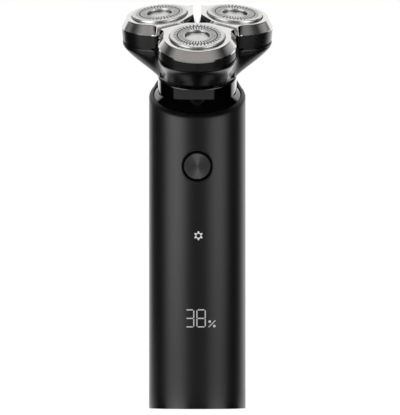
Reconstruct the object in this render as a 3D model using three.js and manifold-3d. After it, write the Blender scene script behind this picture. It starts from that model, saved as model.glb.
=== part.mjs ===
// Rotary electric shaver with three cutters: a slim round handle whose top is cut on a slant,
// a glossy neck, and a head that leans forward, pulls off, and floats on a gimbal.
// Millimetres, +Z up, front towards -Y, origin at the middle of the base.
import * as THREE from 'three';
import { mergeVertices } from 'three/addons/utils/BufferGeometryUtils.js';
import Module from 'manifold-3d';

const wasm = await Module();
wasm.setup();

// ---- Driving dimensions -------------------------------------------------------------------

// Clearances
const fit = 0.3; // between pieces that are fastened or rest against each other
const running = 0.4; // between pieces that turn or slide in each other

// Handle tube and its slanted top
const bodyRadius = 19.05;
const bodyWall = 1.65;
const cutHeight = 124.4; // middle of the slanted top, above the base
const cutTilt = 24.5; // slant of the tube's top, degrees
const headTilt = 21; // lean of the neck and head axis, degrees

// Base cap, which closes the tube from inside, its screws and the charging port
const shellLift = 0.4; // foot of the tube above the bottom of the cap
const shellEdge = 0.25;
const basePlate = 2.2;
const baseEdge = 0.3;
const plugHeight = 5; // height of the cap inside the tube
const plugWall = 1.5;
const sealHeight = 1.2;
const screwInset = 4.1; // from the cap's plug wall to the middle of each base screw
const screwRadius = 0.9;
const screwHeadRadius = 1.6;
const screwHeadHeight = 0.9;
const portInset = 0.5; // port's mouth above the bottom of the cap
const portSetback = 8; // port centre behind the body axis
const portWidth = 8.9;
const portHeight = 3.3;
const portWall = 0.35;
const portLength = 6.4;
const tongueThickness = 0.7;

// Chassis, battery, boards
const chassisWall = 1.6;
const shelfThickness = 1.6;
const batteryRadius = 9.1;
const batteryLength = 50;
const batteryEdge = 1;
const tabThickness = 0.4;
const boardMargin = 0.5; // from the board's long edges to the tube's bore
const boardThickness = 1;
const boardSetback = 3.2; // from the tube's bore to the board's front
const displayHeight = 35.6;
const displayWidth = 14;
const displayTall = 11;
const iconHeight = 68.3;
const lightPipeRadius = 2.6;

// Power button
const buttonDrop = 28.7; // button's middle below the middle of the slanted top
const buttonRadius = 5;
const buttonTravel = 0.6;
const buttonProud = 0.1;
const buttonThickness = 1.7;
const plungerRadius = 1.6;
const switchGap = 0.1; // left between the plunger and the switch when the button is pressed
const gasketWall = 0.4;
const gasketFlange = 1.5;
const switchSide = 6;
const switchDepth = 2;

// Motor
const motorGap = 0.6; // between the motor and the chassis behind it
const motorLength = 26;
const motorWall = 1;
const motorEndCap = 2.5;
const motorShaftRadius = 1;
const armatureRadius = 8.4;
const armatureLength = 14;
const commutatorRadius = 3.2;
const bracketThickness = 1.6;
const motorScrewInset = 4; // from the motor's rim to its screws
const motorScrewBite = 0.15; // gap between each screw's tip and the motor

// Drive: the motor's ball turns a bell-ended shaft that lies on the head axis
const ballDepth = 8; // ball centre below the slanted cut, along the head axis
const ballRadius = 2.3;
const ballToMotor = 6.5;
const bellWall = 1.2;
const driveRadius = 2;
const driveTipRadius = 1.6;
const driveTipReach = 2.5; // tip of the drive shaft above the gimbal's centre

// Neck, heights along the head axis from the slanted cut
const neckHeight = 7.5;
const neckSetIn = 0.2; // how far the neck's foot stands inside the tube's bore
const neckTaper = 1.4; // how much the neck narrows from its foot to its rim
const neckFlare = 2.2; // how fast the neck's curve straightens towards its rim
const neckWall = 1.4;
const neckPlugWall = 1.7;
const stretchFlare = 1.5; // how fast the neck turns from oval at its foot to round
const neckRim = 0.8;
const neckRimEdge = 0.35;
const deckThickness = 1.5;
const neckFloor = 1.6; // thickness of the floor under the stem
const sleeveRadius = 8.4;
const sleeveWall = 1.4;
const bushRadius = 4;
const bushLip = 1.4;

// Head stem and gimbal
const stemFlange = 0.7;
const stemFlangeLip = 1;
const stemRadius = 6;
const stemBore = 4.4;
const stemPlugWall = 1.8;
const sealGroove = 0.9;
const sealGrooveHeight = 1.4;
const gimbalRise = 3.4; // gimbal's middle above the head's underside
const gimbalClear = 0.9; // room for the ring to tilt about the stem
const gimbalWall = 1.8;
const gimbalRim = 0.3; // the gimbal ring above and below its pin holes
const pinRadius = 0.8;

// Head housing
const headGap = 1.1; // between the neck's rim and the head
const headStep = 0.3; // how much wider the head's underside is than the neck's rim
const housingWall = 1.6;
const taperHeight = 8.7; // from the head's underside to its upright edge
const housingBulge = 0.57; // how far out the taper is at half its height
const edgeRound = 0.6; // height of the rounding under the upright edge
const edgeShare = 0.97; // how far out the taper is where that rounding starts
const bulgeWall = 0.05; // how much less the inside of the wall bulges
const postRadius = 1.9;
const bossWall = 1.1;
const bossDepth = 2;
const lobeSwell = 0.48; // how much further a lobe reaches than the gap beside it
const waistRadius = 18.4;
const hollowSharpness = 12; // how tight the hollows between the lobes are
const podGap = 0.8; // between a pod's skirt and the housing

// Gears
const gearModule = 0.75;
const sunTeeth = 18;
const planetTeeth = 26;
const backlash = 0.3;
const pressureAngle = 20;
const rootDepth = 1.25; // depth of the gaps below the pitch line, in modules
const gearRise = 10.4; // gears above the head's underside
const gearThickness = 2.2;
const gearPlateThickness = 1.2;
const spindleHubRadius = 2.6;
const spindleRadius = 1.3;
const springSheet = 0.3;
const springRound = 5;
const springFinger = 3;

// Cutter pods, heights in each pod below the top of its cutter guard
const podLean = 5.5; // outward lean of each pod, degrees
const hingeLift = 2.15; // each pod rocks about pins above the foot of its skirt
const hingeRise = 0.3; // those pins above the gear plate
const hingePinRadius = 0.6;
const earWall = 1.2;
const earRim = 0.9;
const capDrop = 0.85;
const capSlope = 2.3; // how much the cap narrows from its lip to its flat top
const capBevel = 4;
const capLip = 0.4;
const capEdge = 0.35; // height of the small slope around the flat top
const capEdgeShare = 0.88; // how far in the bevel reaches under that slope
const capWallShare = 1.5; // height of the lip inside the cap, in lips
const capWaistStep = 0.8; // how much the waist narrows from the cap's lip to its top
const capWall = 1;
const skirtHeight = 4.6;
const skirtInset = 0.15;
const skirtWall = 1.2;
const skirtNotch = 1.9; // how much shorter the skirt is along the gaps between pods
const notchGap = 2.5; // from the gear plate's rim to where the skirt is at full length
const seamHalf = 1.2; // half of the gap between neighbouring pods
const seamStep = 0.7; // how much wider each side of the gap is at the caps' tops
const tipGap = 0.1; // from the guard's flange to the cap's wall at the head's middle
const tipStep = 1.4; // how much further that side of the cap reaches at its lip
const guardGap = 0.12; // from the guard's flange to the cap's walls beside it
const guardFlange = 1.1;
const guardSheet = 0.6;
const guardRound = 0.3;
const guardDepth = 2.9;
const guardHubRadius = 4.7;
const guardHubDrop = 1;
const guardHubEdge = 0.2;
const guardSlots = 18;
const slotWidth = 0.7;
const slotLength = 3.1;
const slotInset = 1.2; // from the guard's inner tube to the slots
const bladeCount = 9;
const bladeThickness = 0.5;
const bladeTall = 0.8;
const bladeEnd = 0.1; // how far the blades stop short of their ring's edges
const carrierPlate = 1;
const carrierInset = 1; // how much smaller the carrier is than its ring of blades
const carrierDrop = 1.3; // carrier's foot below the cap's lip
const socketFloor = 1.5;
const socketRadius = 2.1;
const socketWall = 1.2;
const retainerGap = 1.6; // from the guard's foot to the retainer
const retainerThickness = 1.1;
const retainerSpoke = 1.6;

// Smoothness of round pieces, in facets
const fine = 40;
const neckFacets = 32;
const medium = 24;
const coarse = 12;
const small = 8;
const lobeSteps = 14; // facets around each lobe of the housing
const podSteps = 18; // facets around each pod's outer side
const settleRounds = 40; // rounds in which the corner of a pod settles
const sink = 0.4; // how far pieces of one part run into each other where they are joined

// ---- Geometry helpers ---------------------------------------------------------------------

const radians = THREE.MathUtils.degToRad;
const thirds = [0, 1, 2];
const thirdTurn = (third) => radians(120 * third - 90); // the first third faces the front

// A closed mesh with shared vertices, no empty faces, and its faces pointing out
function solid(geometry) {
  const bare = geometry.clone();
  for (const name of Object.keys(bare.attributes)) {
    if (name !== 'position') bare.deleteAttribute(name);
  }
  const merged = mergeVertices(bare, 1e-4);
  const index = merged.index.array;
  const kept = [];
  for (let i = 0; i < index.length; i += 3) {
    const [a, b, c] = [index[i], index[i + 1], index[i + 2]];
    if (a !== b && b !== c && c !== a) kept.push(a, b, c);
  }
  merged.setIndex(kept);
  if (volumeOf(merged) < 0) merged.setIndex(kept.reverse());
  return merged;
}

function volumeOf(geometry) {
  const place = geometry.attributes.position;
  const corners = [0, 1, 2].map(() => new THREE.Vector3());
  let volume = 0;
  for (let i = 0; i < geometry.index.count; i += 3) {
    corners.forEach((corner, k) => corner.fromBufferAttribute(place, geometry.index.getX(i + k)));
    volume += corners[0].dot(corners[1].clone().cross(corners[2])) / 6;
  }
  return volume;
}

function toManifold(geometry) {
  const closed = solid(geometry);
  return new wasm.Manifold(new wasm.Mesh({
    numProp: 3,
    vertProperties: new Float32Array(closed.attributes.position.array),
    triVerts: new Uint32Array(closed.index.array),
  }));
}

function toGeometry(shape) {
  const mesh = shape.getMesh();
  const geometry = new THREE.BufferGeometry();
  geometry.setAttribute('position', new THREE.BufferAttribute(Float32Array.from(mesh.vertProperties), 3));
  geometry.setIndex(new THREE.BufferAttribute(new Uint32Array(mesh.triVerts), 1));
  return geometry;
}

const combined = (pieces, action) =>
  toGeometry(pieces.map(toManifold).reduce((whole, piece) => whole[action](piece)));
const join = (...pieces) => combined(pieces, 'add');
const cut = (...pieces) => combined(pieces, 'subtract'); // the first piece without the others
const keep = (...pieces) => combined(pieces, 'intersect'); // what all of them share

// A profile of [radius, height] pairs turned about Z. It starts and ends on the axis or closes on itself.
function turned(profile, facets = medium) {
  const first = profile[0];
  const last = profile[profile.length - 1];
  const closed = first[0] > 0 || last[0] > 0 ? [...profile, first] : profile;
  const points = closed.map(([r, z]) => new THREE.Vector2(r, z));
  return solid(new THREE.LatheGeometry(points, facets).rotateX(Math.PI / 2).rotateZ(Math.PI / 2));
}

const rod = (radius, low, high, facets = coarse) =>
  turned([[0, low], [radius, low], [radius, high], [0, high]], facets);
const ring = (inner, outer, low, high, facets = medium) =>
  turned([[inner, low], [outer, low], [outer, high], [inner, high]], facets);

function block(low, high) {
  const size = low.map((value, i) => high[i] - value);
  const middle = low.map((value, i) => (high[i] + value) / 2);
  return new THREE.BoxGeometry(...size).translate(...middle);
}

// A rod along Y, between two Y values, at x and z
const rodAlongY = (radius, from, to, x, z, facets = coarse) =>
  rod(radius, from, to, facets).rotateX(-Math.PI / 2).translate(x, 0, z);
const rodAlongX = (radius, from, to, y, z, facets = coarse) =>
  rod(radius, from, to, facets).rotateY(Math.PI / 2).translate(0, y, z);
// The same piece on both sides: side is -1 and then 1, and from and to are its ends on the side of 1
const onBothSides = (from, to, piece) =>
  join(...[-1, 1].map((side) => (side < 0 ? piece(-to, -from) : piece(from, to))));

function extruded(points, low, high) {
  const shape = new THREE.Shape(points.map(([x, y]) => new THREE.Vector2(x, y)));
  return new THREE.ExtrudeGeometry(shape, { depth: high - low, bevelEnabled: false }).translate(0, 0, low);
}

// A skin over outlines of equally many [x, y] points, each at its height, closed by flat ends
function lofted(levels) {
  const count = levels[0].points.length;
  const positions = levels.flatMap(({ points, z }) => points.flatMap(([x, y]) => [x, y, z]));
  const faces = [];
  for (let k = 0; k + 1 < levels.length; k += 1) {
    for (let i = 0; i < count; i += 1) {
      const next = (i + 1) % count;
      const [a, b] = [k * count + i, k * count + next];
      faces.push(a, b, b + count, a, b + count, a + count);
    }
  }
  const last = levels.length - 1;
  const ends = [[levels[0], 0, true], [levels[last], last * count, false]];
  for (const [level, start, down] of ends) {
    const outline = level.points.map(([x, y]) => new THREE.Vector2(x, y));
    for (const [a, b, c] of THREE.ShapeUtils.triangulateShape(outline, [])) {
      faces.push(start + a, start + (down ? c : b), start + (down ? b : c));
    }
  }
  const geometry = new THREE.BufferGeometry();
  geometry.setAttribute('position', new THREE.Float32BufferAttribute(positions, 3));
  geometry.setIndex(faces);
  return solid(geometry);
}

const shaver = new THREE.Group();

function add(parent, name, geometry, finish) {
  const mesh = new THREE.Mesh(solid(geometry), new THREE.MeshStandardMaterial(finish));
  mesh.name = name;
  parent.add(mesh);
}

// Finishes
const satinBlack = { color: 0x17181a, roughness: 0.5, metalness: 0.1 };
const glossBlack = { color: 0x08080a, roughness: 0.08, metalness: 0.1 };
const innerBlack = { color: 0x101114, roughness: 0.7, metalness: 0 };
const silver = { color: 0xd0d2d4, roughness: 0.28, metalness: 0.9 };
const darkMetal = { color: 0x35373a, roughness: 0.35, metalness: 0.9 };
const steel = { color: 0xb4b7bb, roughness: 0.3, metalness: 0.95 };
const rubber = { color: 0x0c0c0d, roughness: 0.85, metalness: 0 };
const greenBoard = { color: 0x123a22, roughness: 0.6, metalness: 0.1 };
const blueWrap = { color: 0x2a6f9c, roughness: 0.45, metalness: 0 };
const whitePlastic = { color: 0xe4e5e2, roughness: 0.5, metalness: 0 };
const greyPlastic = { color: 0x7d8287, roughness: 0.5, metalness: 0 };
const brass = { color: 0xb08d45, roughness: 0.35, metalness: 0.9 };
const copper = { color: 0x9c5a34, roughness: 0.4, metalness: 0.8 };

// ---- Frames and sizes that follow from the driving ones --------------------------------------

// The head axis crosses the body axis in the middle of the slanted cut
const headPlace = new THREE.Matrix4().makeTranslation(0, 0, cutHeight)
  .multiply(new THREE.Matrix4().makeRotationX(radians(headTilt)));
const fromHead = (geometry) => geometry.clone().applyMatrix4(headPlace);
const headPoint = (x, y, z) => new THREE.Vector3(x, y, z).applyMatrix4(headPlace);

const boreRadius = bodyRadius - bodyWall;
const innerRadius = boreRadius - fit; // what stands inside the tube
const far = 4 * bodyRadius;
const buttonHeight = cutHeight - buttonDrop;

// Heights of the head along its axis, from the slanted cut
const bellyRadius = innerRadius - neckSetIn;
const neckTopRadius = bellyRadius - neckTaper;
const headBottomRadius = neckTopRadius + headStep;
const headLow = neckHeight + headGap;
const gimbalHeight = headLow + gimbalRise;
const housingEdge = headLow + taperHeight;
const gearHeight = headLow + gearRise;
const gearHigh = gearHeight + gearThickness;
const plateLow = gearHigh + running + fit;
const plateHigh = plateLow + gearPlateThickness;
const gearCentre = (gearModule * (sunTeeth + planetTeeth)) / 2;

// Each pod's hinge lies over its spindle; the guard's middle is further out, by the lean
const skirtTop = capDrop + capBevel + fit;
const skirtLow = skirtTop + skirtHeight;
const hingeDrop = skirtLow - hingeLift;
const podHingeReach = gearCentre;
const podHingeHeight = plateHigh + hingeRise;
const podOffset = podHingeReach + hingeDrop * Math.sin(radians(podLean));
const podTop = podHingeHeight + hingeDrop * Math.cos(radians(podLean));

// Sizes of a pod, outwards from its middle. The gaps between the pods set the guards' size.
const gapAngle = radians(60);
const gapDistance = podOffset * Math.sin(gapAngle);
const lobeRadius = gapDistance + lobeSwell;
const capRadius = lobeRadius - capSlope;
const seamTop = seamHalf + seamStep;
const guardFlangeRadius = gapDistance - seamTop - capWall - guardGap;
const guardRadius = guardFlangeRadius - guardFlange;
const topTip = guardFlangeRadius + tipGap + capWall;
const lipTip = topTip + tipStep;

// Everything above the slanted cut, shifted down by drop
const aboveCut = (drop = 0) =>
  block([-far, -far, 0], [far, far, far]).rotateX(radians(cutTilt)).translate(0, 0, cutHeight - drop);
const belowCut = (drop = 0) =>
  block([-far, -far, -far], [far, far, 0]).rotateX(radians(cutTilt)).translate(0, 0, cutHeight - drop);

// ---- Handle: tube, base, port -------------------------------------------------------------

const shellTop = cutHeight + far / 2;
const buttonHole = buttonRadius + fit * 2 + gasketWall;
add(shaver, 'body_shell', cut(
  turned([
    [boreRadius, shellLift], [bodyRadius - shellEdge, shellLift], [bodyRadius, shellLift + shellEdge],
    [bodyRadius, shellTop], [boreRadius, shellTop],
  ], fine),
  aboveCut(),
  rodAlongY(buttonHole, -far, 0, 0, buttonHeight, medium),
), satinBlack);

// An outline with straight long sides and round ends
const stadium = (width, height) => {
  const half = (width - height) / 2;
  const points = [];
  for (const [side, start] of [[1, -90], [-1, 90]]) {
    for (let i = 0; i <= coarse / 2; i += 1) {
      const angle = radians(start + (360 * i) / coarse);
      points.push([side * half + (height / 2) * Math.cos(angle), (height / 2) * Math.sin(angle)]);
    }
  }
  return points;
};
const portHole = extruded(stadium(portWidth + 2 * fit, portHeight + 2 * fit), -1, plugHeight + portLength)
  .translate(0, portSetback, 0);
const screwSpread = innerRadius - plugWall - screwInset;
const screwSides = [['left', -1], ['right', 1]];
const screwBores = screwSides.map(([, side]) => join(
  rod(screwHeadRadius + fit, -1, screwHeadHeight + fit).translate(side * screwSpread, 0, 0),
  rod(screwRadius + fit, -1, basePlate + 1).translate(side * screwSpread, 0, 0),
));
add(shaver, 'base_cap', cut(turned([
  [0, 0], [innerRadius - baseEdge, 0], [innerRadius, baseEdge], [innerRadius, plugHeight],
  [innerRadius - plugWall, plugHeight], [innerRadius - plugWall, basePlate], [0, basePlate],
], fine), portHole, ...screwBores), satinBlack);

const sealLow = plugHeight + fit;
const sealHigh = sealLow + sealHeight;
add(shaver, 'base_seal', ring(innerRadius - plugWall, innerRadius, sealLow, sealHigh), rubber);

const portLow = portInset;
const portHigh = portLow + portLength;
add(shaver, 'charge_port', cut(
  extruded(stadium(portWidth, portHeight), portLow, portHigh),
  extruded(stadium(portWidth - 2 * portWall, portHeight - 2 * portWall), portLow - 1, portHigh - portWall),
).translate(0, portSetback, 0), steel);
const tongueReach = (portWidth - portHeight) / 2;
add(shaver, 'charge_port_tongue', block(
  [-tongueReach, portSetback - tongueThickness / 2, portLow + 1],
  [tongueReach, portSetback + tongueThickness / 2, portHigh - portWall - fit],
), innerBlack);

// ---- Chassis, battery, boards -------------------------------------------------------------

const shelfLow = sealHigh + fit;
const shelfHigh = shelfLow + shelfThickness;
const batteryLow = shelfHigh + fit + tabThickness + fit;
const batteryHigh = batteryLow + batteryLength;
const midShelfLow = batteryHigh + fit + tabThickness + fit;
const midShelfHigh = midShelfLow + shelfThickness;
const chassisInner = innerRadius - chassisWall;
const batteryY = chassisInner - batteryRadius - fit;

// The ball joint between the motor and the leaning drive shaft
const ball = headPoint(0, 0, -ballDepth);
const motorY = ball.y;
const motorHigh = ball.z - ballToMotor;
const motorLow = motorHigh - motorLength;
const bracketLow = motorHigh + fit;
const bracketHigh = bracketLow + bracketThickness;
const chassisHigh = bracketLow - fit;

const boardFront = -(boreRadius - boardSetback);
const boardBack = boardFront + boardThickness;
const chassisFront = boardBack + fit;
const screwTip = shelfHigh - fit;
const bossBores = screwSides.map(([, side]) =>
  rod(screwRadius + fit, shelfLow - 1, shelfHigh + 1).translate(side * screwSpread, 0, 0));
add(shaver, 'inner_chassis', cut(
  join(
    rod(innerRadius, shelfLow, shelfHigh, medium),
    rod(innerRadius, midShelfLow, midShelfHigh, medium),
    cut(ring(chassisInner, innerRadius, shelfLow, chassisHigh), block([-far, -far, -1], [far, 0, shellTop])),
  ),
  block([-far, -far, -1], [far, chassisFront, shellTop]),
  portHole,
  ...bossBores,
), innerBlack);

for (const [side, sign] of screwSides) {
  add(shaver, `base_screw_${side}`, turned([
    [0, fit], [screwHeadRadius, fit], [screwHeadRadius, screwHeadHeight], [screwRadius, screwHeadHeight],
    [screwRadius, screwTip], [0, screwTip],
  ], small).translate(sign * screwSpread, 0, 0), steel);
}

add(shaver, 'battery_cell', turned([
  [0, batteryLow], [batteryRadius, batteryLow], [batteryRadius, batteryHigh - batteryEdge],
  [batteryRadius - batteryEdge, batteryHigh], [0, batteryHigh],
]).translate(0, batteryY, 0), blueWrap);
const tab = (low) => block(
  [-batteryRadius / 2, boardBack + fit, low],
  [batteryRadius / 2, batteryY, low + tabThickness],
);
add(shaver, 'battery_tab_bottom', tab(shelfHigh + fit), steel);
add(shaver, 'battery_tab_top', tab(batteryHigh + fit), steel);

const boardLow = shelfHigh + fit;
const boardHigh = chassisHigh;
const boardHalf = Math.sqrt(boreRadius ** 2 - boardFront ** 2) - boardMargin;
add(shaver, 'circuit_board', block(
  [-boardHalf, boardFront, boardLow],
  [boardHalf, boardBack, boardHigh],
), greenBoard);

// Lit pieces stand between the board and the tube's bore
const boreFront = (halfWidth) => -Math.sqrt(boreRadius ** 2 - halfWidth ** 2);
add(shaver, 'display_module', block(
  [-displayWidth / 2, boreFront(displayWidth / 2) + fit, displayHeight - displayTall / 2],
  [displayWidth / 2, boardFront - fit, displayHeight + displayTall / 2],
), whitePlastic);
add(shaver, 'icon_light_pipe', rodAlongY(
  lightPipeRadius, boreFront(lightPipeRadius) + fit, boardFront - fit, 0, iconHeight,
), whitePlastic);

// ---- Power button: pressed inwards, against a switch on the board ---------------------------

const buttonFace = -(bodyRadius + buttonProud);
const buttonBack = buttonFace + buttonThickness;
const switchFace = boardFront - fit - switchDepth;
const gasketInner = buttonRadius + fit;
const gasketOuter = gasketInner + gasketWall;
const flangeRadius = gasketOuter + gasketFlange;
const flangeFront = boreFront(flangeRadius) + fit;
add(shaver, 'button_cap', join(
  rodAlongY(buttonRadius, buttonFace, buttonBack, 0, buttonHeight, medium),
  rodAlongY(plungerRadius, buttonBack - sink, switchFace - buttonTravel - switchGap, 0, buttonHeight),
), darkMetal);
add(shaver, 'button_gasket', turned([
  [gasketInner, buttonFace + bodyWall / 2], [gasketOuter, buttonFace + bodyWall / 2],
  [gasketOuter, flangeFront], [flangeRadius, flangeFront],
  [flangeRadius, boardFront - fit], [gasketInner, boardFront - fit],
]).rotateX(-Math.PI / 2).translate(0, 0, buttonHeight), rubber);
add(shaver, 'tact_switch', block(
  [-switchSide / 2, switchFace, buttonHeight - switchSide / 2],
  [switchSide / 2, boardFront - fit, buttonHeight + switchSide / 2],
), greyPlastic);

// ---- Motor --------------------------------------------------------------------------------

const motorRadius = chassisInner - motorY - motorGap;
const motorScrewSpread = motorRadius - motorScrewInset;
const shaftTop = ball.z + ballRadius / 2;
const endCapLow = motorLow - fit - motorEndCap;
const shaftBottom = endCapLow + motorEndCap / 2;
const shaftHole = motorShaftRadius + running;
add(shaver, 'motor_can', turned([
  [shaftHole, motorHigh - motorWall], [motorRadius - motorWall, motorHigh - motorWall],
  [motorRadius - motorWall, motorLow], [motorRadius, motorLow],
  [motorRadius, motorHigh], [shaftHole, motorHigh],
]).translate(0, motorY, 0), steel);
add(shaver, 'motor_end_cap', turned([
  [0, endCapLow], [motorRadius, endCapLow], [motorRadius, endCapLow + motorEndCap],
  [shaftHole, endCapLow + motorEndCap], [shaftHole, shaftBottom - running], [0, shaftBottom - running],
]).translate(0, motorY, 0), greyPlastic);
const bracketHole = (radius, x) => rod(radius, bracketLow - 1, bracketHigh + 1).translate(x, motorY, 0);
add(shaver, 'motor_bracket', cut(
  rod(innerRadius, bracketLow, bracketHigh, medium),
  bracketHole(shaftHole, 0),
  ...screwSides.map(([, sign]) => bracketHole(screwRadius + fit, sign * motorScrewSpread)),
), steel);
const screwLow = motorHigh + motorScrewBite;
const screwHeadLow = bracketHigh + fit;
for (const [side, sign] of screwSides) {
  add(shaver, `motor_screw_${side}`, turned([
    [0, screwLow], [screwRadius, screwLow], [screwRadius, screwHeadLow],
    [screwHeadRadius, screwHeadLow], [screwHeadRadius, screwHeadLow + screwHeadHeight],
    [0, screwHeadLow + screwHeadHeight],
  ], small).translate(sign * motorScrewSpread, motorY, 0), steel);
}
const coreHigh = motorHigh - 3 * motorWall;
const coreLow = coreHigh - armatureLength;
const commutatorLow = motorLow + motorWall;
const armatureBore = motorShaftRadius + fit;
add(shaver, 'motor_armature', turned([
  [armatureBore, commutatorLow], [commutatorRadius, commutatorLow], [commutatorRadius, coreLow],
  [armatureRadius, coreLow], [armatureRadius, coreHigh], [armatureBore, coreHigh],
]).translate(0, motorY, 0), copper);
add(shaver, 'motor_shaft', rod(motorShaftRadius, shaftBottom, shaftTop).translate(0, motorY, 0), steel);
add(shaver, 'drive_ball', cut(
  new THREE.SphereGeometry(ballRadius, small, small),
  rod(motorShaftRadius + fit, -ballRadius - 1, ballRadius + 1, small),
).translate(0, motorY, ball.z), brass);

// ---- Drive shaft: from the ball up through the neck, on the head axis ------------------------

const tilted = new THREE.Group();
tilted.position.set(0, 0, cutHeight);
tilted.rotation.x = radians(headTilt);
shaver.add(tilted);

const cavityRadius = ballRadius + running + fit;
const bellRadius = cavityRadius + bellWall;
const bellLow = -ballDepth - ballRadius - fit;
const cavityHigh = -ballDepth + ballRadius + running;
const bellHigh = cavityHigh + bellWall / 2;
const driveTop = gimbalHeight + driveTipReach;
const shoulder = gimbalHeight - running;
add(tilted, 'drive_shaft', turned([
  [0, cavityHigh], [cavityRadius, cavityHigh], [cavityRadius, bellLow], [bellRadius, bellLow],
  [bellRadius, bellHigh], [driveRadius, bellHigh], [driveRadius, shoulder],
  [driveTipRadius, shoulder], [driveTipRadius, driveTop], [0, driveTop],
], coarse), steel);

// ---- Neck ---------------------------------------------------------------------------------

// The neck's wall is as wide as the slanted tube at its foot and round at its rim
const footStretch = 1 / Math.cos(radians(cutTilt));
const neckFoot = -neckHeight * 0.6;
const neckShare = (c) => Math.min(Math.max(c / neckHeight, 0), 1);
const neckCurve = (c) => neckTopRadius + neckTaper * (1 - neckShare(c)) ** neckFlare;
const neckLevels = [0, 0.2, 0.45, 0.75].map((share) => share * neckHeight);
const deckHigh = neckHeight - neckRim;
const deckLow = deckHigh - deckThickness;
const wallOutside = [neckFoot, ...neckLevels, neckHeight - neckRimEdge].map((c) => [neckCurve(c), c]);
const wallInside = [neckLevels[neckLevels.length - 1], 0, neckFoot].map((c) => [neckCurve(c) - neckWall, c]);
const stretchedFoot = (geometry) => {
  const place = geometry.attributes.position;
  for (let i = 0; i < place.count; i += 1) {
    const stretch = 1 + (footStretch - 1) * (1 - neckShare(place.getZ(i))) ** stretchFlare;
    place.setY(i, place.getY(i) * stretch);
  }
  return geometry;
};
const rimInner = neckTopRadius - neckWall;
const neckOuter = stretchedFoot(turned([
  ...wallOutside, [neckTopRadius - neckRimEdge, neckHeight], [rimInner, neckHeight], [rimInner, deckHigh],
  ...wallInside,
], neckFacets));
const floorLow = -neckFloor;
const bushHole = bushRadius + fit;
const neckDeck = turned([
  [sleeveRadius, deckHigh], [sleeveRadius, 0], [bushHole, 0], [bushHole, floorLow],
  [sleeveRadius + sleeveWall, floorLow], [sleeveRadius + sleeveWall, deckLow],
  [rimInner + neckWall / 2, deckLow], [rimInner + neckWall / 2, deckHigh],
]);
const plugFloor = bracketHigh + fit;
const neckPlug = keep(
  ring(innerRadius - neckPlugWall, innerRadius, plugFloor, shellTop, neckFacets),
  belowCut(fit),
);
add(shaver, 'neck_collar', join(
  cut(fromHead(neckOuter), belowCut(fit + sink)),
  neckPlug,
  fromHead(neckDeck),
), glossBlack);

const bushTop = fit * 2 + neckRim;
const bushFlange = bushRadius + bushLip;
add(tilted, 'neck_bearing', turned([
  [driveRadius + fit, floorLow], [bushRadius, floorLow], [bushRadius, fit],
  [bushFlange, fit], [bushFlange, bushTop], [driveRadius + fit, bushTop],
]), brass);

// ---- Head stem: plugs into the neck and carries the gimbal ----------------------------------

const plugRadius = sleeveRadius - fit;
const stemFoot = bushTop + fit;
const stemFlangeRadius = plugRadius + stemFlangeLip;
const flangeLow = deckHigh + fit;
const flangeHigh = flangeLow + stemFlange;
const stemTop = gimbalHeight + pinRadius * 2;
const sealMiddle = (stemFoot + flangeLow) / 2;
const grooveHalf = sealGrooveHeight / 2;
const grooveRadius = plugRadius - sealGroove;
const stemInside = plugRadius - stemPlugWall;
const gimbalInner = stemRadius + gimbalClear;
const gimbalOuter = gimbalInner + gimbalWall;
const collarInner = gimbalOuter + pinRadius;
const collarOuter = collarInner + housingWall;
const stemPins = onBothSides(stemRadius - sink, gimbalOuter - fit,
  (from, to) => rodAlongX(pinRadius, from, to, 0, gimbalHeight, small));
add(tilted, 'head_stem', join(turned([
  [stemBore, stemTop], [stemBore, deckLow], [stemInside, deckLow], [stemInside, stemFoot],
  [plugRadius, stemFoot], [plugRadius, sealMiddle - grooveHalf], [grooveRadius, sealMiddle - grooveHalf],
  [grooveRadius, sealMiddle + grooveHalf], [plugRadius, sealMiddle + grooveHalf],
  [plugRadius, flangeLow], [stemFlangeRadius, flangeLow], [stemFlangeRadius, flangeHigh],
  [stemRadius, flangeHigh], [stemRadius, stemTop],
]), stemPins), innerBlack);
add(tilted, 'stem_seal', ring(grooveRadius + fit, plugRadius, sealMiddle - grooveHalf + fit,
  sealMiddle + grooveHalf - fit), rubber);

const pinHole = pinRadius + fit;
const gimbalTall = 2 * (pinHole + gimbalRim);
const gimbalPins = onBothSides(gimbalOuter - sink, collarOuter - fit,
  (from, to) => rodAlongY(pinRadius, from, to, 0, gimbalHeight, small));
add(tilted, 'gimbal_ring', join(cut(
  ring(gimbalInner, gimbalOuter, gimbalHeight - gimbalTall / 2, gimbalHeight + gimbalTall / 2),
  rodAlongX(pinHole, -far, far, 0, gimbalHeight, small),
), gimbalPins), steel);

// ---- Outlines of the head -------------------------------------------------------------------

// How far a lobe reaches from the head axis, at an angle from the lobe's middle. Beyond the round
// lobe the outline keeps the waist, with a smooth hollow between them.
function reach(angle, radius, waist, offset = podOffset) {
  const side = offset * Math.abs(Math.sin(angle));
  const round = side < radius ? offset * Math.cos(angle) + Math.sqrt(radius ** 2 - side ** 2) : 0;
  return (Math.max(round, 0) ** hollowSharpness + waist ** hollowSharpness) ** (1 / hollowSharpness);
}

// One third of the head seen from above, as [outward, sideways] points about its pod's centre. half
// is the distance to the gap's middle, and tip how far the pod reaches towards the head axis.
function podOutline(radius, waist, half, tip) {
  let corner = gapAngle;
  for (let i = 0; i < settleRounds; i += 1) {
    corner = gapAngle - Math.asin(half / reach(corner, radius, waist));
  }
  const points = [];
  for (let i = 0; i <= podSteps; i += 1) {
    const angle = corner * (-1 + (2 * i) / podSteps);
    const length = reach(angle, radius, waist);
    points.push([length * Math.cos(angle) - podOffset, length * Math.sin(angle)]);
  }
  const tipHalf = ((podOffset - tip) * Math.sin(gapAngle) - half) / Math.cos(gapAngle);
  points.push([-tip, tipHalf], [-tip, -tipHalf]);
  return points;
}

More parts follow.
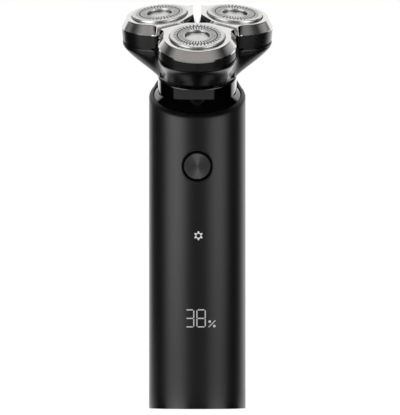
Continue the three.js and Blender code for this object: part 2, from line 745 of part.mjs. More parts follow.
// The whole head's outline, from a circle at share 0 to the three lobes at share 1. The lobes stand
// where the leaning pods' skirts end.
const lobeOffset = podOffset - (skirtLow + podGap) * Math.sin(radians(podLean));
function headOutline(share, inset) {
  const points = [];
  for (const third of thirds) {
    for (let i = 0; i < lobeSteps; i += 1) {
      const angle = radians(-60 + (120 * i) / lobeSteps);
      const lobe = reach(angle, lobeRadius - inset, waistRadius - inset, lobeOffset);
      const length = (headBottomRadius - inset) * (1 - share) + lobe * share;
      const turn = angle + thirdTurn(third);
      points.push([length * Math.cos(turn), length * Math.sin(turn)]);
    }
  }
  return points;
}

// Pod frames: X outward, Y sideways, Z along the pod's own axis, origin on top of the guard
const podPlace = (third) => new THREE.Matrix4().makeRotationZ(thirdTurn(third))
  .multiply(new THREE.Matrix4().makeTranslation(podOffset, 0, podTop))
  .multiply(new THREE.Matrix4().makeRotationY(radians(podLean)));
const inHead = (geometry, third) => geometry.clone().applyMatrix4(podPlace(third));
// The same piece at each third, out to a distance from the head axis
const atThirds = (distance, piece) => thirds.map((third) => {
  const turn = thirdTurn(third);
  return piece.clone().rotateZ(turn).translate(distance * Math.cos(turn), distance * Math.sin(turn), 0);
});

// ---- Head housing -----------------------------------------------------------------------------

const podClearance = thirds.map((third) =>
  inHead(block([-far, -far, -(skirtLow + podGap)], [far, far, far]), third));
const wallTop = plateHigh + 2; // above where the pods' room cuts the walls off
const outerBody = lofted([
  { points: headOutline(0, 0), z: headLow },
  { points: headOutline(housingBulge, 0), z: (headLow + housingEdge) / 2 },
  { points: headOutline(edgeShare, 0), z: housingEdge - edgeRound / 2 },
  { points: headOutline(1, 0), z: housingEdge + edgeRound / 2 },
  { points: headOutline(1, 0), z: wallTop },
]);
const floorTop = headLow + housingWall;
const innerEdge = housingEdge + housingWall / 2;
const innerBody = lofted([
  { points: headOutline(0, housingWall), z: floorTop },
  { points: headOutline(housingBulge - bulgeWall, housingWall), z: (floorTop + innerEdge) / 2 },
  { points: headOutline(1, housingWall), z: innerEdge },
  { points: headOutline(1, housingWall), z: wallTop + 1 },
]);
const mouth = turned([
  [0, headLow - 1], [collarInner + headGap * 2, headLow - 1], [collarInner + headGap, headLow],
  [collarInner, headLow + headGap], [collarInner, wallTop + 1], [0, wallTop + 1],
]);
const collarHigh = gimbalHeight + gimbalTall / 2 + pinRadius;
const gimbalCollar = cut(
  ring(collarInner, collarOuter, floorTop - sink, collarHigh),
  rodAlongY(pinHole, -far, far, 0, gimbalHeight, small),
);
// Posts under the gear plate stand in the hollows between the lobes, opposite each lobe
const postReach = waistRadius - housingWall - postRadius + sink;
const posts = atThirds(-postReach, rod(postRadius, floorTop - sink, plateLow - fit, small));
const pivotRadius = spindleRadius + fit;
const bossTop = gearHeight - fit;
const bosses = atThirds(gearCentre, cut(
  rod(pivotRadius + bossWall, floorTop - sink, bossTop, small),
  rod(pivotRadius, bossTop - bossDepth, bossTop + 1, small),
)).map((boss) => keep(boss, outerBody));
const walls = cut(outerBody, ...podClearance, innerBody, mouth);
add(tilted, 'head_housing', join(walls, gimbalCollar, ...posts, ...bosses), satinBlack);

// ---- Gear train ---------------------------------------------------------------------------

// A gear with straight-sided teeth. Its first tooth, or its first gap, points to +X.
function gear(teeth, low, high, firstIsGap = false) {
  const pitch = (gearModule * teeth) / 2;
  const [tip, root] = [pitch + gearModule, pitch - rootDepth * gearModule];
  const halfTooth = (Math.PI * gearModule) / 4 - backlash / 2;
  const slope = Math.tan(radians(pressureAngle));
  const points = [];
  for (let i = 0; i < teeth; i += 1) {
    const middle = ((i + (firstIsGap ? 0.5 : 0)) * 2 * Math.PI) / teeth;
    const rootHalf = (halfTooth + (pitch - root) * slope) / root;
    const tipHalf = (halfTooth - (tip - pitch) * slope) / tip;
    for (const [radius, offset] of [[root, -rootHalf], [tip, -tipHalf], [tip, tipHalf], [root, rootHalf]]) {
      points.push([radius * Math.cos(middle + offset), radius * Math.sin(middle + offset)]);
    }
  }
  return extruded(points, low, high);
}

const driveSocket = driveTipRadius + running + fit;
const sunHub = driveSocket + socketWall;
const sunHubLow = gimbalHeight + running * 2;
const sunAxle = spindleRadius;
add(tilted, 'centre_gear', join(
  gear(sunTeeth, gearHeight, gearHigh).rotateZ(thirdTurn(0)),
  turned([
    [0, driveTop + running], [driveSocket, driveTop + running], [driveSocket, sunHubLow],
    [sunHub, sunHubLow], [sunHub, gearHeight + sink], [0, gearHeight + sink],
  ], coarse),
  rod(sunAxle, gearHigh - sink, plateHigh - fit, small),
), brass);

// The spindles end under the floors of the carriers' sockets
const bladeTop = -guardSheet - fit;
const bladeFoot = bladeTop - bladeTall;
const bladePlate = bladeFoot - bladeThickness;
const carrierTop = bladePlate - fit;
const socketTop = carrierTop - socketFloor;
const spindleTop = podTop + socketTop * Math.cos(radians(podLean)) - running;
const spindleShoulder = plateHigh + running;
const spindleFoot = bossTop - bossDepth + fit;
const spindles = atThirds(gearCentre, join(
  gear(planetTeeth, gearHeight, gearHigh, true).rotateZ(Math.PI),
  rod(spindleRadius, spindleFoot, gearHeight + sink, small),
  turned([
    [0, gearHigh - sink], [spindleHubRadius, gearHigh - sink], [spindleHubRadius, spindleShoulder],
    [spindleRadius, spindleShoulder], [spindleRadius, spindleTop], [0, spindleTop],
  ], coarse),
));
for (const third of thirds) {
  add(tilted, `spindle_gear_${third + 1}`, spindles[third], whitePlastic);
}

// ---- Gear plate with the pods' hinge ears -----------------------------------------------------

const skirtInner = lobeRadius - skirtInset - skirtWall;
const plateLobe = skirtInner - podGap - fit;
const plateRound = waistRadius - housingWall - podGap - fit;
const earOuter = plateLobe - fit;
const earInner = earOuter - earWall;
const earHole = hingePinRadius + fit;
const earHalf = earHole + earRim;
const earHigh = podHingeHeight + earHole + earRim / 2;
const ears = onBothSides(earInner, earOuter,
  (from, to) => block([-earHalf, from, plateHigh - sink], [earHalf, to, earHigh]));
add(tilted, 'gear_plate', cut(
  join(
    rod(plateRound, plateLow, plateHigh, medium),
    ...atThirds(podHingeReach, rod(plateLobe, plateLow, plateHigh, medium)),
    ...atThirds(podHingeReach, ears),
  ),
  rod(sunAxle + fit, plateLow - 1, plateHigh + 1, small),
  ...atThirds(gearCentre, rod(spindleHubRadius + fit, plateLow - 1, plateHigh + 1, coarse)),
  ...atThirds(podHingeReach, rodAlongY(earHole, -far, far, 0, podHingeHeight, small)),
), innerBlack);

// One sheet of spring steel whose three fingers bear on the pods
const springLow = plateHigh + fit;
const springEnd = gearCentre - spindleHubRadius - 2 * fit;
add(tilted, 'pod_spring_plate', cut(
  join(
    rod(springRound, springLow, springLow + springSheet, coarse),
    ...atThirds(0, block(
      [springRound - 1, -springFinger / 2, springLow],
      [springEnd, springFinger / 2, springLow + springSheet],
    )),
  ),
  rod(sunAxle + fit, springLow - 1, springLow + 1, small),
), steel);

// ---- Cutter pods ------------------------------------------------------------------------------

const capTop = -capDrop;
const capFoot = -(capDrop + capBevel);
const capInnerTop = capTop - capWall;
const topWaist = waistRadius - capWaistStep;
const capHole = guardRadius + running;
const flangeTop = capInnerTop - fit;
const insetOutline = (inset, radius, waist, half, tip) =>
  podOutline(radius - inset, waist - inset, half + inset, tip - inset);

// The cap's outline at a share of the way from its lip, 0, to its flat top, 1
const between = (share, lip, top) => lip + (top - lip) * share;
const capSizes = (share) => [
  between(share, lobeRadius, capRadius),
  between(share, waistRadius, topWaist),
  between(share, seamHalf, seamTop),
  between(share, lipTip, topTip),
];
const capOuter = lofted([
  { points: podOutline(...capSizes(0)), z: capFoot },
  { points: podOutline(...capSizes(0)), z: capFoot + capLip },
  { points: podOutline(...capSizes(capEdgeShare)), z: capTop - capEdge },
  { points: podOutline(...capSizes(1)), z: capTop },
]);
const capInner = lofted([
  { points: insetOutline(capWall, ...capSizes(0)), z: capFoot - 1 },
  { points: insetOutline(capWall, ...capSizes(0)), z: capFoot + capLip * capWallShare },
  { points: insetOutline(capWall, ...capSizes(capEdgeShare)), z: capInnerTop },
]);
const podCap = cut(capOuter, capInner, rod(capHole, capInnerTop - 1, capTop + 1, medium));

const frameTop = -skirtTop;
const frameFoot = -skirtLow;
const shortFoot = frameFoot + skirtNotch;
const notchStart = (plateRound + notchGap) * Math.cos(gapAngle) + seamHalf * Math.sin(gapAngle);
const cornerReach = (notchStart + skirtLow * Math.sin(radians(podLean)) - podOffset)
  / Math.cos(radians(podLean));
const pinTip = earInner - running;
const frameRing = cut(
  extruded(insetOutline(skirtInset, ...capSizes(0)), frameFoot, frameTop),
  extruded(insetOutline(skirtInset + skirtWall, ...capSizes(0)), frameFoot - 1, frameTop + 1),
  block([-far, -far, frameFoot - 1], [cornerReach, far, shortFoot]),
);
const podFrame = join(frameRing, onBothSides(pinTip, skirtInner + skirtWall / 2,
  (from, to) => rodAlongY(hingePinRadius, from, to, 0, -hingeDrop, small)));

const guardFoot = -guardDepth;
const hubTube = guardHubRadius + fit;
const slotInner = hubTube + slotInset;
const aroundAxis = (count, piece) =>
  Array.from({ length: count }, (_, i) => piece.clone().rotateZ((i * 2 * Math.PI) / count));
const slots = aroundAxis(guardSlots, block(
  [slotInner, -slotWidth / 2, -guardSheet - sink],
  [slotInner + slotLength, slotWidth / 2, sink],
));
const guardShell = turned([
  [hubTube, 0], [guardRadius - guardRound, 0], [guardRadius, -guardRound], [guardRadius, flangeTop],
  [guardFlangeRadius, flangeTop], [guardFlangeRadius, guardFoot], [guardRadius - guardSheet, guardFoot],
  [guardRadius - guardSheet, -guardSheet], [hubTube + guardSheet, -guardSheet],
  [hubTube + guardSheet, -guardHubDrop * 2], [hubTube, -guardHubDrop * 2],
], medium);
const cutterGuard = cut(guardShell, ...slots);
const guardHub = turned([
  [0, -guardHubDrop], [guardHubRadius - guardHubEdge, -guardHubDrop],
  [guardHubRadius, -guardHubDrop - guardHubEdge],
  [guardHubRadius, -guardHubDrop * 2], [0, -guardHubDrop * 2],
], medium);

const bladeInner = hubTube + guardSheet + running;
const bladeOuter = guardRadius - guardSheet - running;
const blades = join(
  ring(bladeInner, bladeOuter, bladePlate, bladeFoot),
  ...aroundAxis(bladeCount, block(
    [bladeInner + bladeEnd, -bladeThickness / 2, bladeFoot - bladeEnd],
    [bladeOuter - bladeEnd, bladeThickness / 2, bladeTop],
  )),
);
const carrierDisc = carrierTop - carrierPlate;
const carrierRadius = bladeOuter - carrierInset;
const carrierHub = socketRadius + socketWall;
const carrierFoot = capFoot - carrierDrop;
const carrier = turned([
  [0, socketTop], [socketRadius, socketTop], [socketRadius, carrierFoot], [carrierHub, carrierFoot],
  [carrierHub, carrierDisc], [carrierRadius, carrierDisc], [carrierRadius, carrierTop], [0, carrierTop],
]);

const retainerTop = guardFoot - retainerGap;
const retainerFoot = retainerTop - retainerThickness;
const retainerHole = carrierRadius + carrierInset / 2;
const hubClear = carrierHub + 2 * running;
const retainerHub = hubClear + retainerSpoke * 0.75;
const inCap = capWall + fit;
const retainer = join(
  cut(
    extruded(insetOutline(inCap, ...capSizes(1)), retainerFoot, retainerTop),
    rod(retainerHole, retainerFoot - 1, retainerTop + 1, medium),
  ),
  ring(hubClear, retainerHub, retainerFoot, retainerTop, coarse),
  ...aroundAxis(3, block(
    [-retainerHole - sink, -retainerSpoke / 2, retainerFoot],
    [-retainerHub + sink, retainerSpoke / 2, retainerTop],
  )),
);

for (const third of thirds) {
  const pod = new THREE.Group();
  pod.applyMatrix4(podPlace(third));
  tilted.add(pod);
  const label = third + 1;
  add(pod, `pod_cap_${label}`, podCap, silver);
  add(pod, `pod_frame_${label}`, podFrame, satinBlack);
  add(pod, `cutter_guard_${label}`, cutterGuard, silver);
  add(pod, `guard_hub_${label}`, guardHub, silver);
  add(pod, `guard_retainer_${label}`, retainer, greyPlastic);
  add(pod, `cutter_blades_${label}`, blades, steel);
  add(pod, `cutter_carrier_${label}`, carrier, whitePlastic);
}

export default shaver;
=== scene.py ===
import math

import bmesh
import bpy
from mathutils import Matrix, Vector


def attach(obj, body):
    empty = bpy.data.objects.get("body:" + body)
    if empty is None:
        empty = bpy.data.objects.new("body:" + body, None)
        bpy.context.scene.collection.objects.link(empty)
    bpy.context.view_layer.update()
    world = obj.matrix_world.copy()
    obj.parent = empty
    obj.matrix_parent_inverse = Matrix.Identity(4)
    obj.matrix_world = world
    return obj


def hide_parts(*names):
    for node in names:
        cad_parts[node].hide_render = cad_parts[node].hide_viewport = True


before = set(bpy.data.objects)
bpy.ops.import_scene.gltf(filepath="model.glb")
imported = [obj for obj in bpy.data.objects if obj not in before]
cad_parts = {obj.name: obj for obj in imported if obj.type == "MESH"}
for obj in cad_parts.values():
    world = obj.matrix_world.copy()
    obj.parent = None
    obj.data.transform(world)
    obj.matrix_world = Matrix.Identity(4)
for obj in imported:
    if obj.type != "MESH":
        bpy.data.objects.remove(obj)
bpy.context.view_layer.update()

mm = 0.001  # the parts below are written in millimetres


def clamped(value):
    return min(max(value, 0), 1)


def eased(share):
    # soft at both ends
    return share ** 2 * (3 - 2 * share)


def turnsRound(count):
    return [2 * math.pi * index / count for index in range(count)]


def quarter(steps, first=0):
    # the two legs of a quarter round, one growing and one shrinking
    for index in range(first, steps + 1):
        turn = math.radians(90 * index / steps)
        yield 1 - math.cos(turn), 1 - math.sin(turn)


def placed(name, data):
    thing = bpy.data.objects.new(name, data)
    bpy.context.scene.collection.objects.link(thing)
    return thing


def meshFrom(name, points, faces, place=None, crease=38):
    mesh = bpy.data.meshes.new(name)
    work = bmesh.new()
    corners = [work.verts.new(Vector(point) * mm) for point in points]
    for face in faces:
        if len(set(face)) == len(face):
            work.faces.new([corners[index] for index in face])
    bmesh.ops.remove_doubles(work, verts=work.verts, dist=1e-7)
    loose = [vert for vert in work.verts if not vert.link_faces]
    bmesh.ops.delete(work, geom=loose, context="VERTS")
    bmesh.ops.recalc_face_normals(work, faces=work.faces)
    work.to_mesh(mesh)
    work.free()
    piece = placed(name, mesh)
    if place is not None:
        piece.matrix_world = place
    for face in mesh.polygons:
        face.use_smooth = True
    mesh.set_sharp_from_angle(angle=math.radians(crease))
    return piece


def loopFaces(rows, columns, wrapRows=True, skip=None):
    # quads between rows that each run once round the piece
    faces = []
    for row in range(rows if wrapRows else rows - 1):
        here, above = row * columns, (row + 1) % rows * columns
        for column in range(columns):
            if not (skip and skip(row, column)):
                beside = (column + 1) % columns
                faces.append((here + column, here + beside, above + beside, above + column))
    return faces


def loopPiece(name, rows, place=None, crease=38, wrapRows=True, skip=None):
    points = [point for row in rows for point in row]
    return meshFrom(name, points, loopFaces(len(rows), len(rows[0]), wrapRows, skip), place, crease)


def bend(before, corner, after, reachIn, steps, most=0.48):
    # a round corner between two straight stretches, taking less than half of each
    start, end = [corner + side.normalized() * min(reachIn, side.length * most)
                  for side in (before - corner, after - corner)]
    shares = [step / steps for step in range(steps + 1)]
    return [start * (1 - share) ** 2 + corner * 2 * share * (1 - share) + end * share ** 2
            for share in shares]


def roundedLoop(points):
    # points are (across, up), with a rounding after them where the corner has one; the loop is closed
    flat = [Vector(point[:2]) for point in points]
    loop = []
    for index, point in enumerate(points):
        if len(point) > 2:
            loop += bend(flat[index - 1], flat[index], flat[(index + 1) % len(flat)], point[2], 4)
        else:
            loop.append(flat[index])
    return loop


def turnedRows(profile, columns):
    return [[(radius * math.cos(turn), radius * math.sin(turn), height) for turn in turnsRound(columns)]
            for radius, height in profile]


def turnedPiece(name, profile, place, columns=96, crease=38):
    return loopPiece(name, turnedRows(roundedLoop(profile), columns), place, crease)


def joined(name, *pieces):
    with bpy.context.temp_override(active_object=pieces[0], selected_editable_objects=list(pieces)):
        bpy.ops.object.join()
    pieces[0].name = name
    return pieces[0]


def leaning(height, degrees):
    return Matrix.Translation((0, 0, height * mm)) @ Matrix.Rotation(math.radians(degrees), 4, "X")


def fixed(piece):
    # the shape itself moves to its place, so its box is the real one
    piece.data.transform(piece.matrix_world)
    piece.matrix_world = Matrix.Identity(4)
    return piece


def settle(piece, body, slot, *replaced, finish=None):
    piece.data.materials.clear()
    piece.data.materials.append(finish or finishes[slot])
    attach(piece, body)
    if replaced:
        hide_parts(*replaced)


def put(tree, kind, output, inputs, **settings):
    # adds a node, sets or links its inputs and gives back one of its outputs
    node = tree.nodes.new("ShaderNode" + kind)
    for name, value in settings.items():
        setattr(node, name, value)
    for socket, value in inputs.items():
        if isinstance(value, bpy.types.NodeSocket):
            tree.links.new(value, node.inputs[socket])
        else:
            node.inputs[socket].default_value = value
    return node.outputs[output]


def mathNode(tree, operation, *values):
    return put(tree, "Math", "Value", dict(enumerate(values)), operation=operation)


def splitOf(tree, vector):
    return put(tree, "SeparateXYZ", "X", {"Vector": vector}).node.outputs


def place3d(tree, stretch=(1, 1, 1)):
    coords = put(tree, "TexCoord", "Object", {})
    return put(tree, "Mapping", "Vector", {"Vector": coords, "Scale": stretch})


def noiseOf(tree, vector, scale, detail=4, roughness=0.55):
    return put(tree, "TexNoise", "Fac", {
        "Vector": vector, "Scale": scale, "Detail": detail, "Roughness": roughness})


def ranged(tree, value, low, high, fromLow=0.3, fromHigh=0.7):
    return put(tree, "MapRange", "Result", {
        "Value": value, "From Min": fromLow, "From Max": fromHigh, "To Min": low, "To Max": high})


def blended(tree, factor, *colours):
    first, second = [(*colour, 1) if isinstance(colour, tuple) else colour for colour in colours]
    return put(tree, "Mix", 2, {0: factor, 6: first, 7: second}, data_type="RGBA")


def startMaterial(name, settings):
    material = bpy.data.materials.new(name)
    material.use_nodes = True
    shader = material.node_tree.nodes["Principled BSDF"]
    for socket, value in settings.items():
        shader.inputs[socket].default_value = value
    return material, material.node_tree, shader


def dress(tree, shader, colour, gloss, height, strength, depth):
    normal = put(tree, "Bump", "Normal", {"Height": height, "Strength": strength, "Distance": depth})
    for socket, value in (("Base Color", colour), ("Roughness", gloss), ("Normal", normal)):
        tree.links.new(value, shader.inputs[socket])


def grainMaterial(look):
    # two close colours, uneven gloss and a fine grain
    material, tree, shader = startMaterial(look["name"], look.get("settings", {}))
    vector = place3d(tree, look.get("stretch", (1, 1, 1)))
    coarse = noiseOf(tree, vector, look["patch"], 3)
    fineGrain = noiseOf(tree, vector, look["grain"], 5, 0.65)
    if "paintedShadeFrom" in look:
        # painted shade: faces turned down and ahead shine less, darkening the underside as if shaded
        sideways, _, upward = splitOf(tree, put(tree, "TexCoord", "Normal", {}))
        facing = mathNode(tree, "ADD", upward, mathNode(tree, "ABSOLUTE", sideways))
        paintedShadeLevel = ranged(tree, facing, *look["paintedShadeShine"], *look["paintedShadeFrom"])
        tree.links.new(paintedShadeLevel, shader.inputs["Specular IOR Level"])
    dress(tree, shader, blended(tree, coarse, look["colour"], look["second"]),
          ranged(tree, fineGrain, *look["gloss"]), fineGrain, look["bump"], look["depth"])
    return material


metal = {"Metallic": 1.0}
rubber = dict(
    colour=(0.0012, 0.0012, 0.0012), second=(0.0020, 0.0020, 0.0020), patch=150, grain=4000,
    gloss=(0.55, 0.65), bump=0.2, depth=0.00003, settings=dict(IOR=1.2),
)
grainLooks = {
    "shell_black": dict(
        name="shellSatin", colour=(0.0022, 0.0022, 0.0023), second=(0.0034, 0.0034, 0.0035),
        patch=60, grain=5200, gloss=(0.33, 0.40), bump=0.10, depth=0.00002, settings=dict(IOR=1.5),
    ),
    "head_black": dict(
        name="headSatin", colour=(0.0020, 0.0020, 0.0021), second=(0.0032, 0.0032, 0.0032),
        patch=60, grain=5200, gloss=(0.24, 0.29), bump=0.10, depth=0.00002,
        # painted shade: faces turned down and ahead get less shine
        settings=dict(IOR=1.5), paintedShadeFrom=(-0.60, -0.38), paintedShadeShine=(0.08, 0.5),
    ),
    "neck_gloss": dict(
        name="neckPiano", colour=(0.0012, 0.0012, 0.0013), second=(0.0018, 0.0018, 0.0018),
        patch=50, grain=900, gloss=(0.035, 0.06), bump=0.02, depth=0.00002,
        settings={"IOR": 1.75, "Coat Weight": 0.6, "Coat Roughness": 0.03, "Coat IOR": 1.5},
    ),
    "inner_black": dict(
        name="innerMoulded", colour=(0.012, 0.012, 0.012), second=(0.018, 0.018, 0.018),
        patch=200, grain=3000, gloss=(0.48, 0.62), bump=0.35, depth=0.00004,
    ),
    "cap_silver": dict(
        name="capSatin", colour=(0.76, 0.75, 0.74), second=(0.80, 0.79, 0.78),
        patch=90, grain=9000, gloss=(0.13, 0.17), bump=0.03, depth=0.00001, settings=metal,
    ),
    "button_rubber": dict(name="gasketRubber", **rubber),
    "seal_rubber": dict(name="sealRubber", **rubber),
    "zinc_steel": dict(
        name="zincPlate", colour=(0.55, 0.56, 0.58), second=(0.64, 0.63, 0.58),
        patch=220, grain=1800, gloss=(0.24, 0.42), bump=0.15, depth=0.00002, settings=metal,
    ),
    "bearing_brass": dict(
        name="sinteredBrass", colour=(0.52, 0.36, 0.14), second=(0.62, 0.45, 0.20),
        patch=500, grain=2600, gloss=(0.26, 0.42), bump=0.25, depth=0.00002, settings=metal,
    ),
    # painted shade: the blades' steel is darkened to the shade they sit in under the guard's slots
    "blade_steel": dict(
        name="bladeSteelPaintedShade", colour=(0.12, 0.12, 0.125), second=(0.17, 0.17, 0.17),
        patch=300, grain=4200, gloss=(0.36, 0.46), bump=0.15, depth=0.00001, settings=metal,
    ),
    "gear_white": dict(
        name="gearNylon", colour=(0.76, 0.75, 0.70), second=(0.80, 0.79, 0.75),
        patch=120, grain=1500, gloss=(0.36, 0.48), bump=0.1, depth=0.00002,
    ),
    "grey_plastic": dict(
        name="greyMoulded", colour=(0.10, 0.10, 0.105), second=(0.13, 0.13, 0.13),
        patch=160, grain=2200, gloss=(0.42, 0.55), bump=0.25, depth=0.00003,
    ),
    "light_plastic": dict(
        name="lightMoulded", colour=(0.70, 0.71, 0.70), second=(0.77, 0.77, 0.76),
        patch=150, grain=1800, gloss=(0.30, 0.40), bump=0.1, depth=0.00002,
    ),
    "cell_wrap": dict(  # shrunk film over a cell
        name="cellFilm", colour=(0.045, 0.16, 0.24), second=(0.055, 0.19, 0.28),
        patch=60, grain=700, gloss=(0.18, 0.30), bump=0.2, depth=0.00004,
        stretch=(1, 1, 0.2), settings={"Coat Weight": 0.6, "Coat Roughness": 0.12},
    ),
}
hubSteel = dict(
    name="hubSatin", colour=(0.60, 0.60, 0.60), second=(0.80, 0.80, 0.79),
    patch=400, grain=5200, gloss=(0.24, 0.40), bump=0.5, depth=0.00002, settings=metal,
)


def brushedDisc(look):
    # ground metal whose lines run round or out from the piece's own axis
    material, tree, shader = startMaterial(look["name"], {**metal, "Anisotropic": look["anisotropy"]})
    tangent = put(tree, "Tangent", "Tangent", {}, direction_type="RADIAL", axis="Z")
    tree.links.new(tangent, shader.inputs["Tangent"])
    coords = put(tree, "TexCoord", "Object", {})
    x, y, _ = splitOf(tree, coords)
    away = put(tree, "VectorMath", "Value", {0: coords}, operation="LENGTH")
    polar = put(tree, "CombineXYZ", "Vector", {"X": mathNode(tree, "ARCTAN2", y, x), "Y": away})
    lines = noiseOf(tree, put(tree, "Mapping", "Vector", {"Vector": polar, "Scale": look["lines"]}), 1.0, 3)
    colour = blended(tree, lines, look["colour"], look["second"])
    # painted shade: a dark ring over the groove, at a set distance from the axis
    if "grooveShadeAt" in look:
        off = mathNode(tree, "ABSOLUTE", mathNode(tree, "SUBTRACT", away, look["grooveShadeAt"] * mm))
        half = look["grooveShadeHalf"] * mm
        beside = ranged(tree, off, 0, 1, half, half * look["grooveShadeFade"])
        colour = blended(tree, beside, look["grooveShadeColour"], colour)
    dress(tree, shader, colour, ranged(tree, lines, *look["gloss"]), lines, look["bump"], look["depth"])
    return material


guardSteel = dict(
    name="guardGround", colour=(0.60, 0.60, 0.60), second=(0.80, 0.80, 0.79), anisotropy=0.35,
    lines=(4, 16000, 1), gloss=(0.27, 0.36), bump=0.08, depth=0.00001,
    # the dark ring over the groove is painted shade
    grooveShadeAt=7.9, grooveShadeHalf=0.24, grooveShadeFade=1.4, grooveShadeColour=(0.10, 0.10, 0.10),
)
buttonMetal = dict(
    name="buttonSpun", colour=(0.125, 0.125, 0.126), second=(0.165, 0.165, 0.165),
    anisotropy=0.70, lines=(90, 400, 1), gloss=(0.34, 0.42), bump=0.06, depth=0.00001,
)
board = dict(
    mask=(0.012, 0.085, 0.035), track=(0.030, 0.150, 0.065), pitch=900, joint=0.03, long=1.7,
    grain=3000, gloss=(0.28, 0.42), bump=0.2, depth=0.00003,
)
winding = dict(
    wire=(0.50, 0.16, 0.05), gap=(0.14, 0.04, 0.015), turns=1500, uneven=0.6,
    gloss=(0.45, 0.25), bump=0.6, depth=0.0001,
)


def boardMaterial():
    # solder mask over fine copper tracks
    material, tree, shader = startMaterial("boardMask", {
        "IOR": 1.5, "Coat Weight": 0.4, "Coat Roughness": 0.15})
    vector = place3d(tree)
    tracks = put(tree, "TexBrick", "Fac", {
        "Vector": vector, "Scale": board["pitch"], "Mortar Size": board["joint"],
        "Brick Width": board["long"]})
    dress(tree, shader, blended(tree, tracks, board["mask"], board["track"]),
          ranged(tree, noiseOf(tree, vector, board["grain"]), *board["gloss"]), tracks,
          board["bump"], board["depth"])
    return material


def windingMaterial():
    # enamelled wire laid side by side
    material, tree, shader = startMaterial("copperWire", {
        "Metallic": 0.9, "Coat Weight": 0.5, "Coat Roughness": 0.1})
    wave = put(tree, "TexWave", "Fac", {
        "Vector": place3d(tree), "Scale": winding["turns"], "Distortion": winding["uneven"],
    }, bands_direction="Z")
    dress(tree, shader, blended(tree, wave, winding["gap"], winding["wire"]),
          ranged(tree, wave, *winding["gloss"], 0, 1), wave, winding["bump"], winding["depth"])
    return material


finishes = {slot: grainMaterial(look) for slot, look in grainLooks.items()}
finishes["guard_steel"] = brushedDisc(guardSteel)
finishes["button_metal"] = brushedDisc(buttonMetal)
finishes["board_green"] = boardMaterial()
finishes["winding_copper"] = windingMaterial()

# parts that stay as they came: their own finish, softened edges and smooth rounds
softened = dict(weld=0.002, width=0.08, sharper=50, split=38)
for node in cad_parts.values():
    surface = node.material_slots[0]
    surface.material = finishes[surface.material.name.split(".")[0]]
    if "custom_normal" in node.data.attributes:
        node.data.attributes.remove(node.data.attributes["custom_normal"])
    for face in node.data.polygons:
        face.use_smooth = True
    node.modifiers.new("weld", "WELD").merge_threshold = softened["weld"] * mm
    edge = node.modifiers.new("edge", "BEVEL")
    edge.width, edge.segments = softened["width"] * mm, 2
    edge.limit_method, edge.angle_limit = "ANGLE", math.radians(softened["sharper"])
    node.modifiers.new("split", "EDGE_SPLIT").split_angle = math.radians(softened["split"])
print("materials and carried-over parts ready")

tube = dict(
    radius=19.05, bore=17.4, foot=0.1, footRound=0.3, cutHeight=124.4, cutTilt=24.5,
    rearRise=2.4, riseFrom=6.5, riseOver=7, lipRound=1.5, boreRound=0.12,
    buttonHeight=95.7, holeRadius=6.0, holeRound=0.22,
    columns=160, patch=11, rings=5, rowsBelow=16, rowsAbove=9,
)


def cutAt(y):
    # the slanted rim, which sweeps up a little more behind
    lift = tube["rearRise"] * eased(clamped((y - tube["riseFrom"]) / tube["riseOver"]))
    return tube["cutHeight"] + y * math.tan(math.radians(tube["cutTilt"])) + lift


def tubeRow(radius, heightOf):
    row = [(radius * math.sin(turn), -radius * math.cos(turn)) for turn in turnsRound(tube["columns"])]
    return [(x, y, heightOf(y)) for x, y in row]


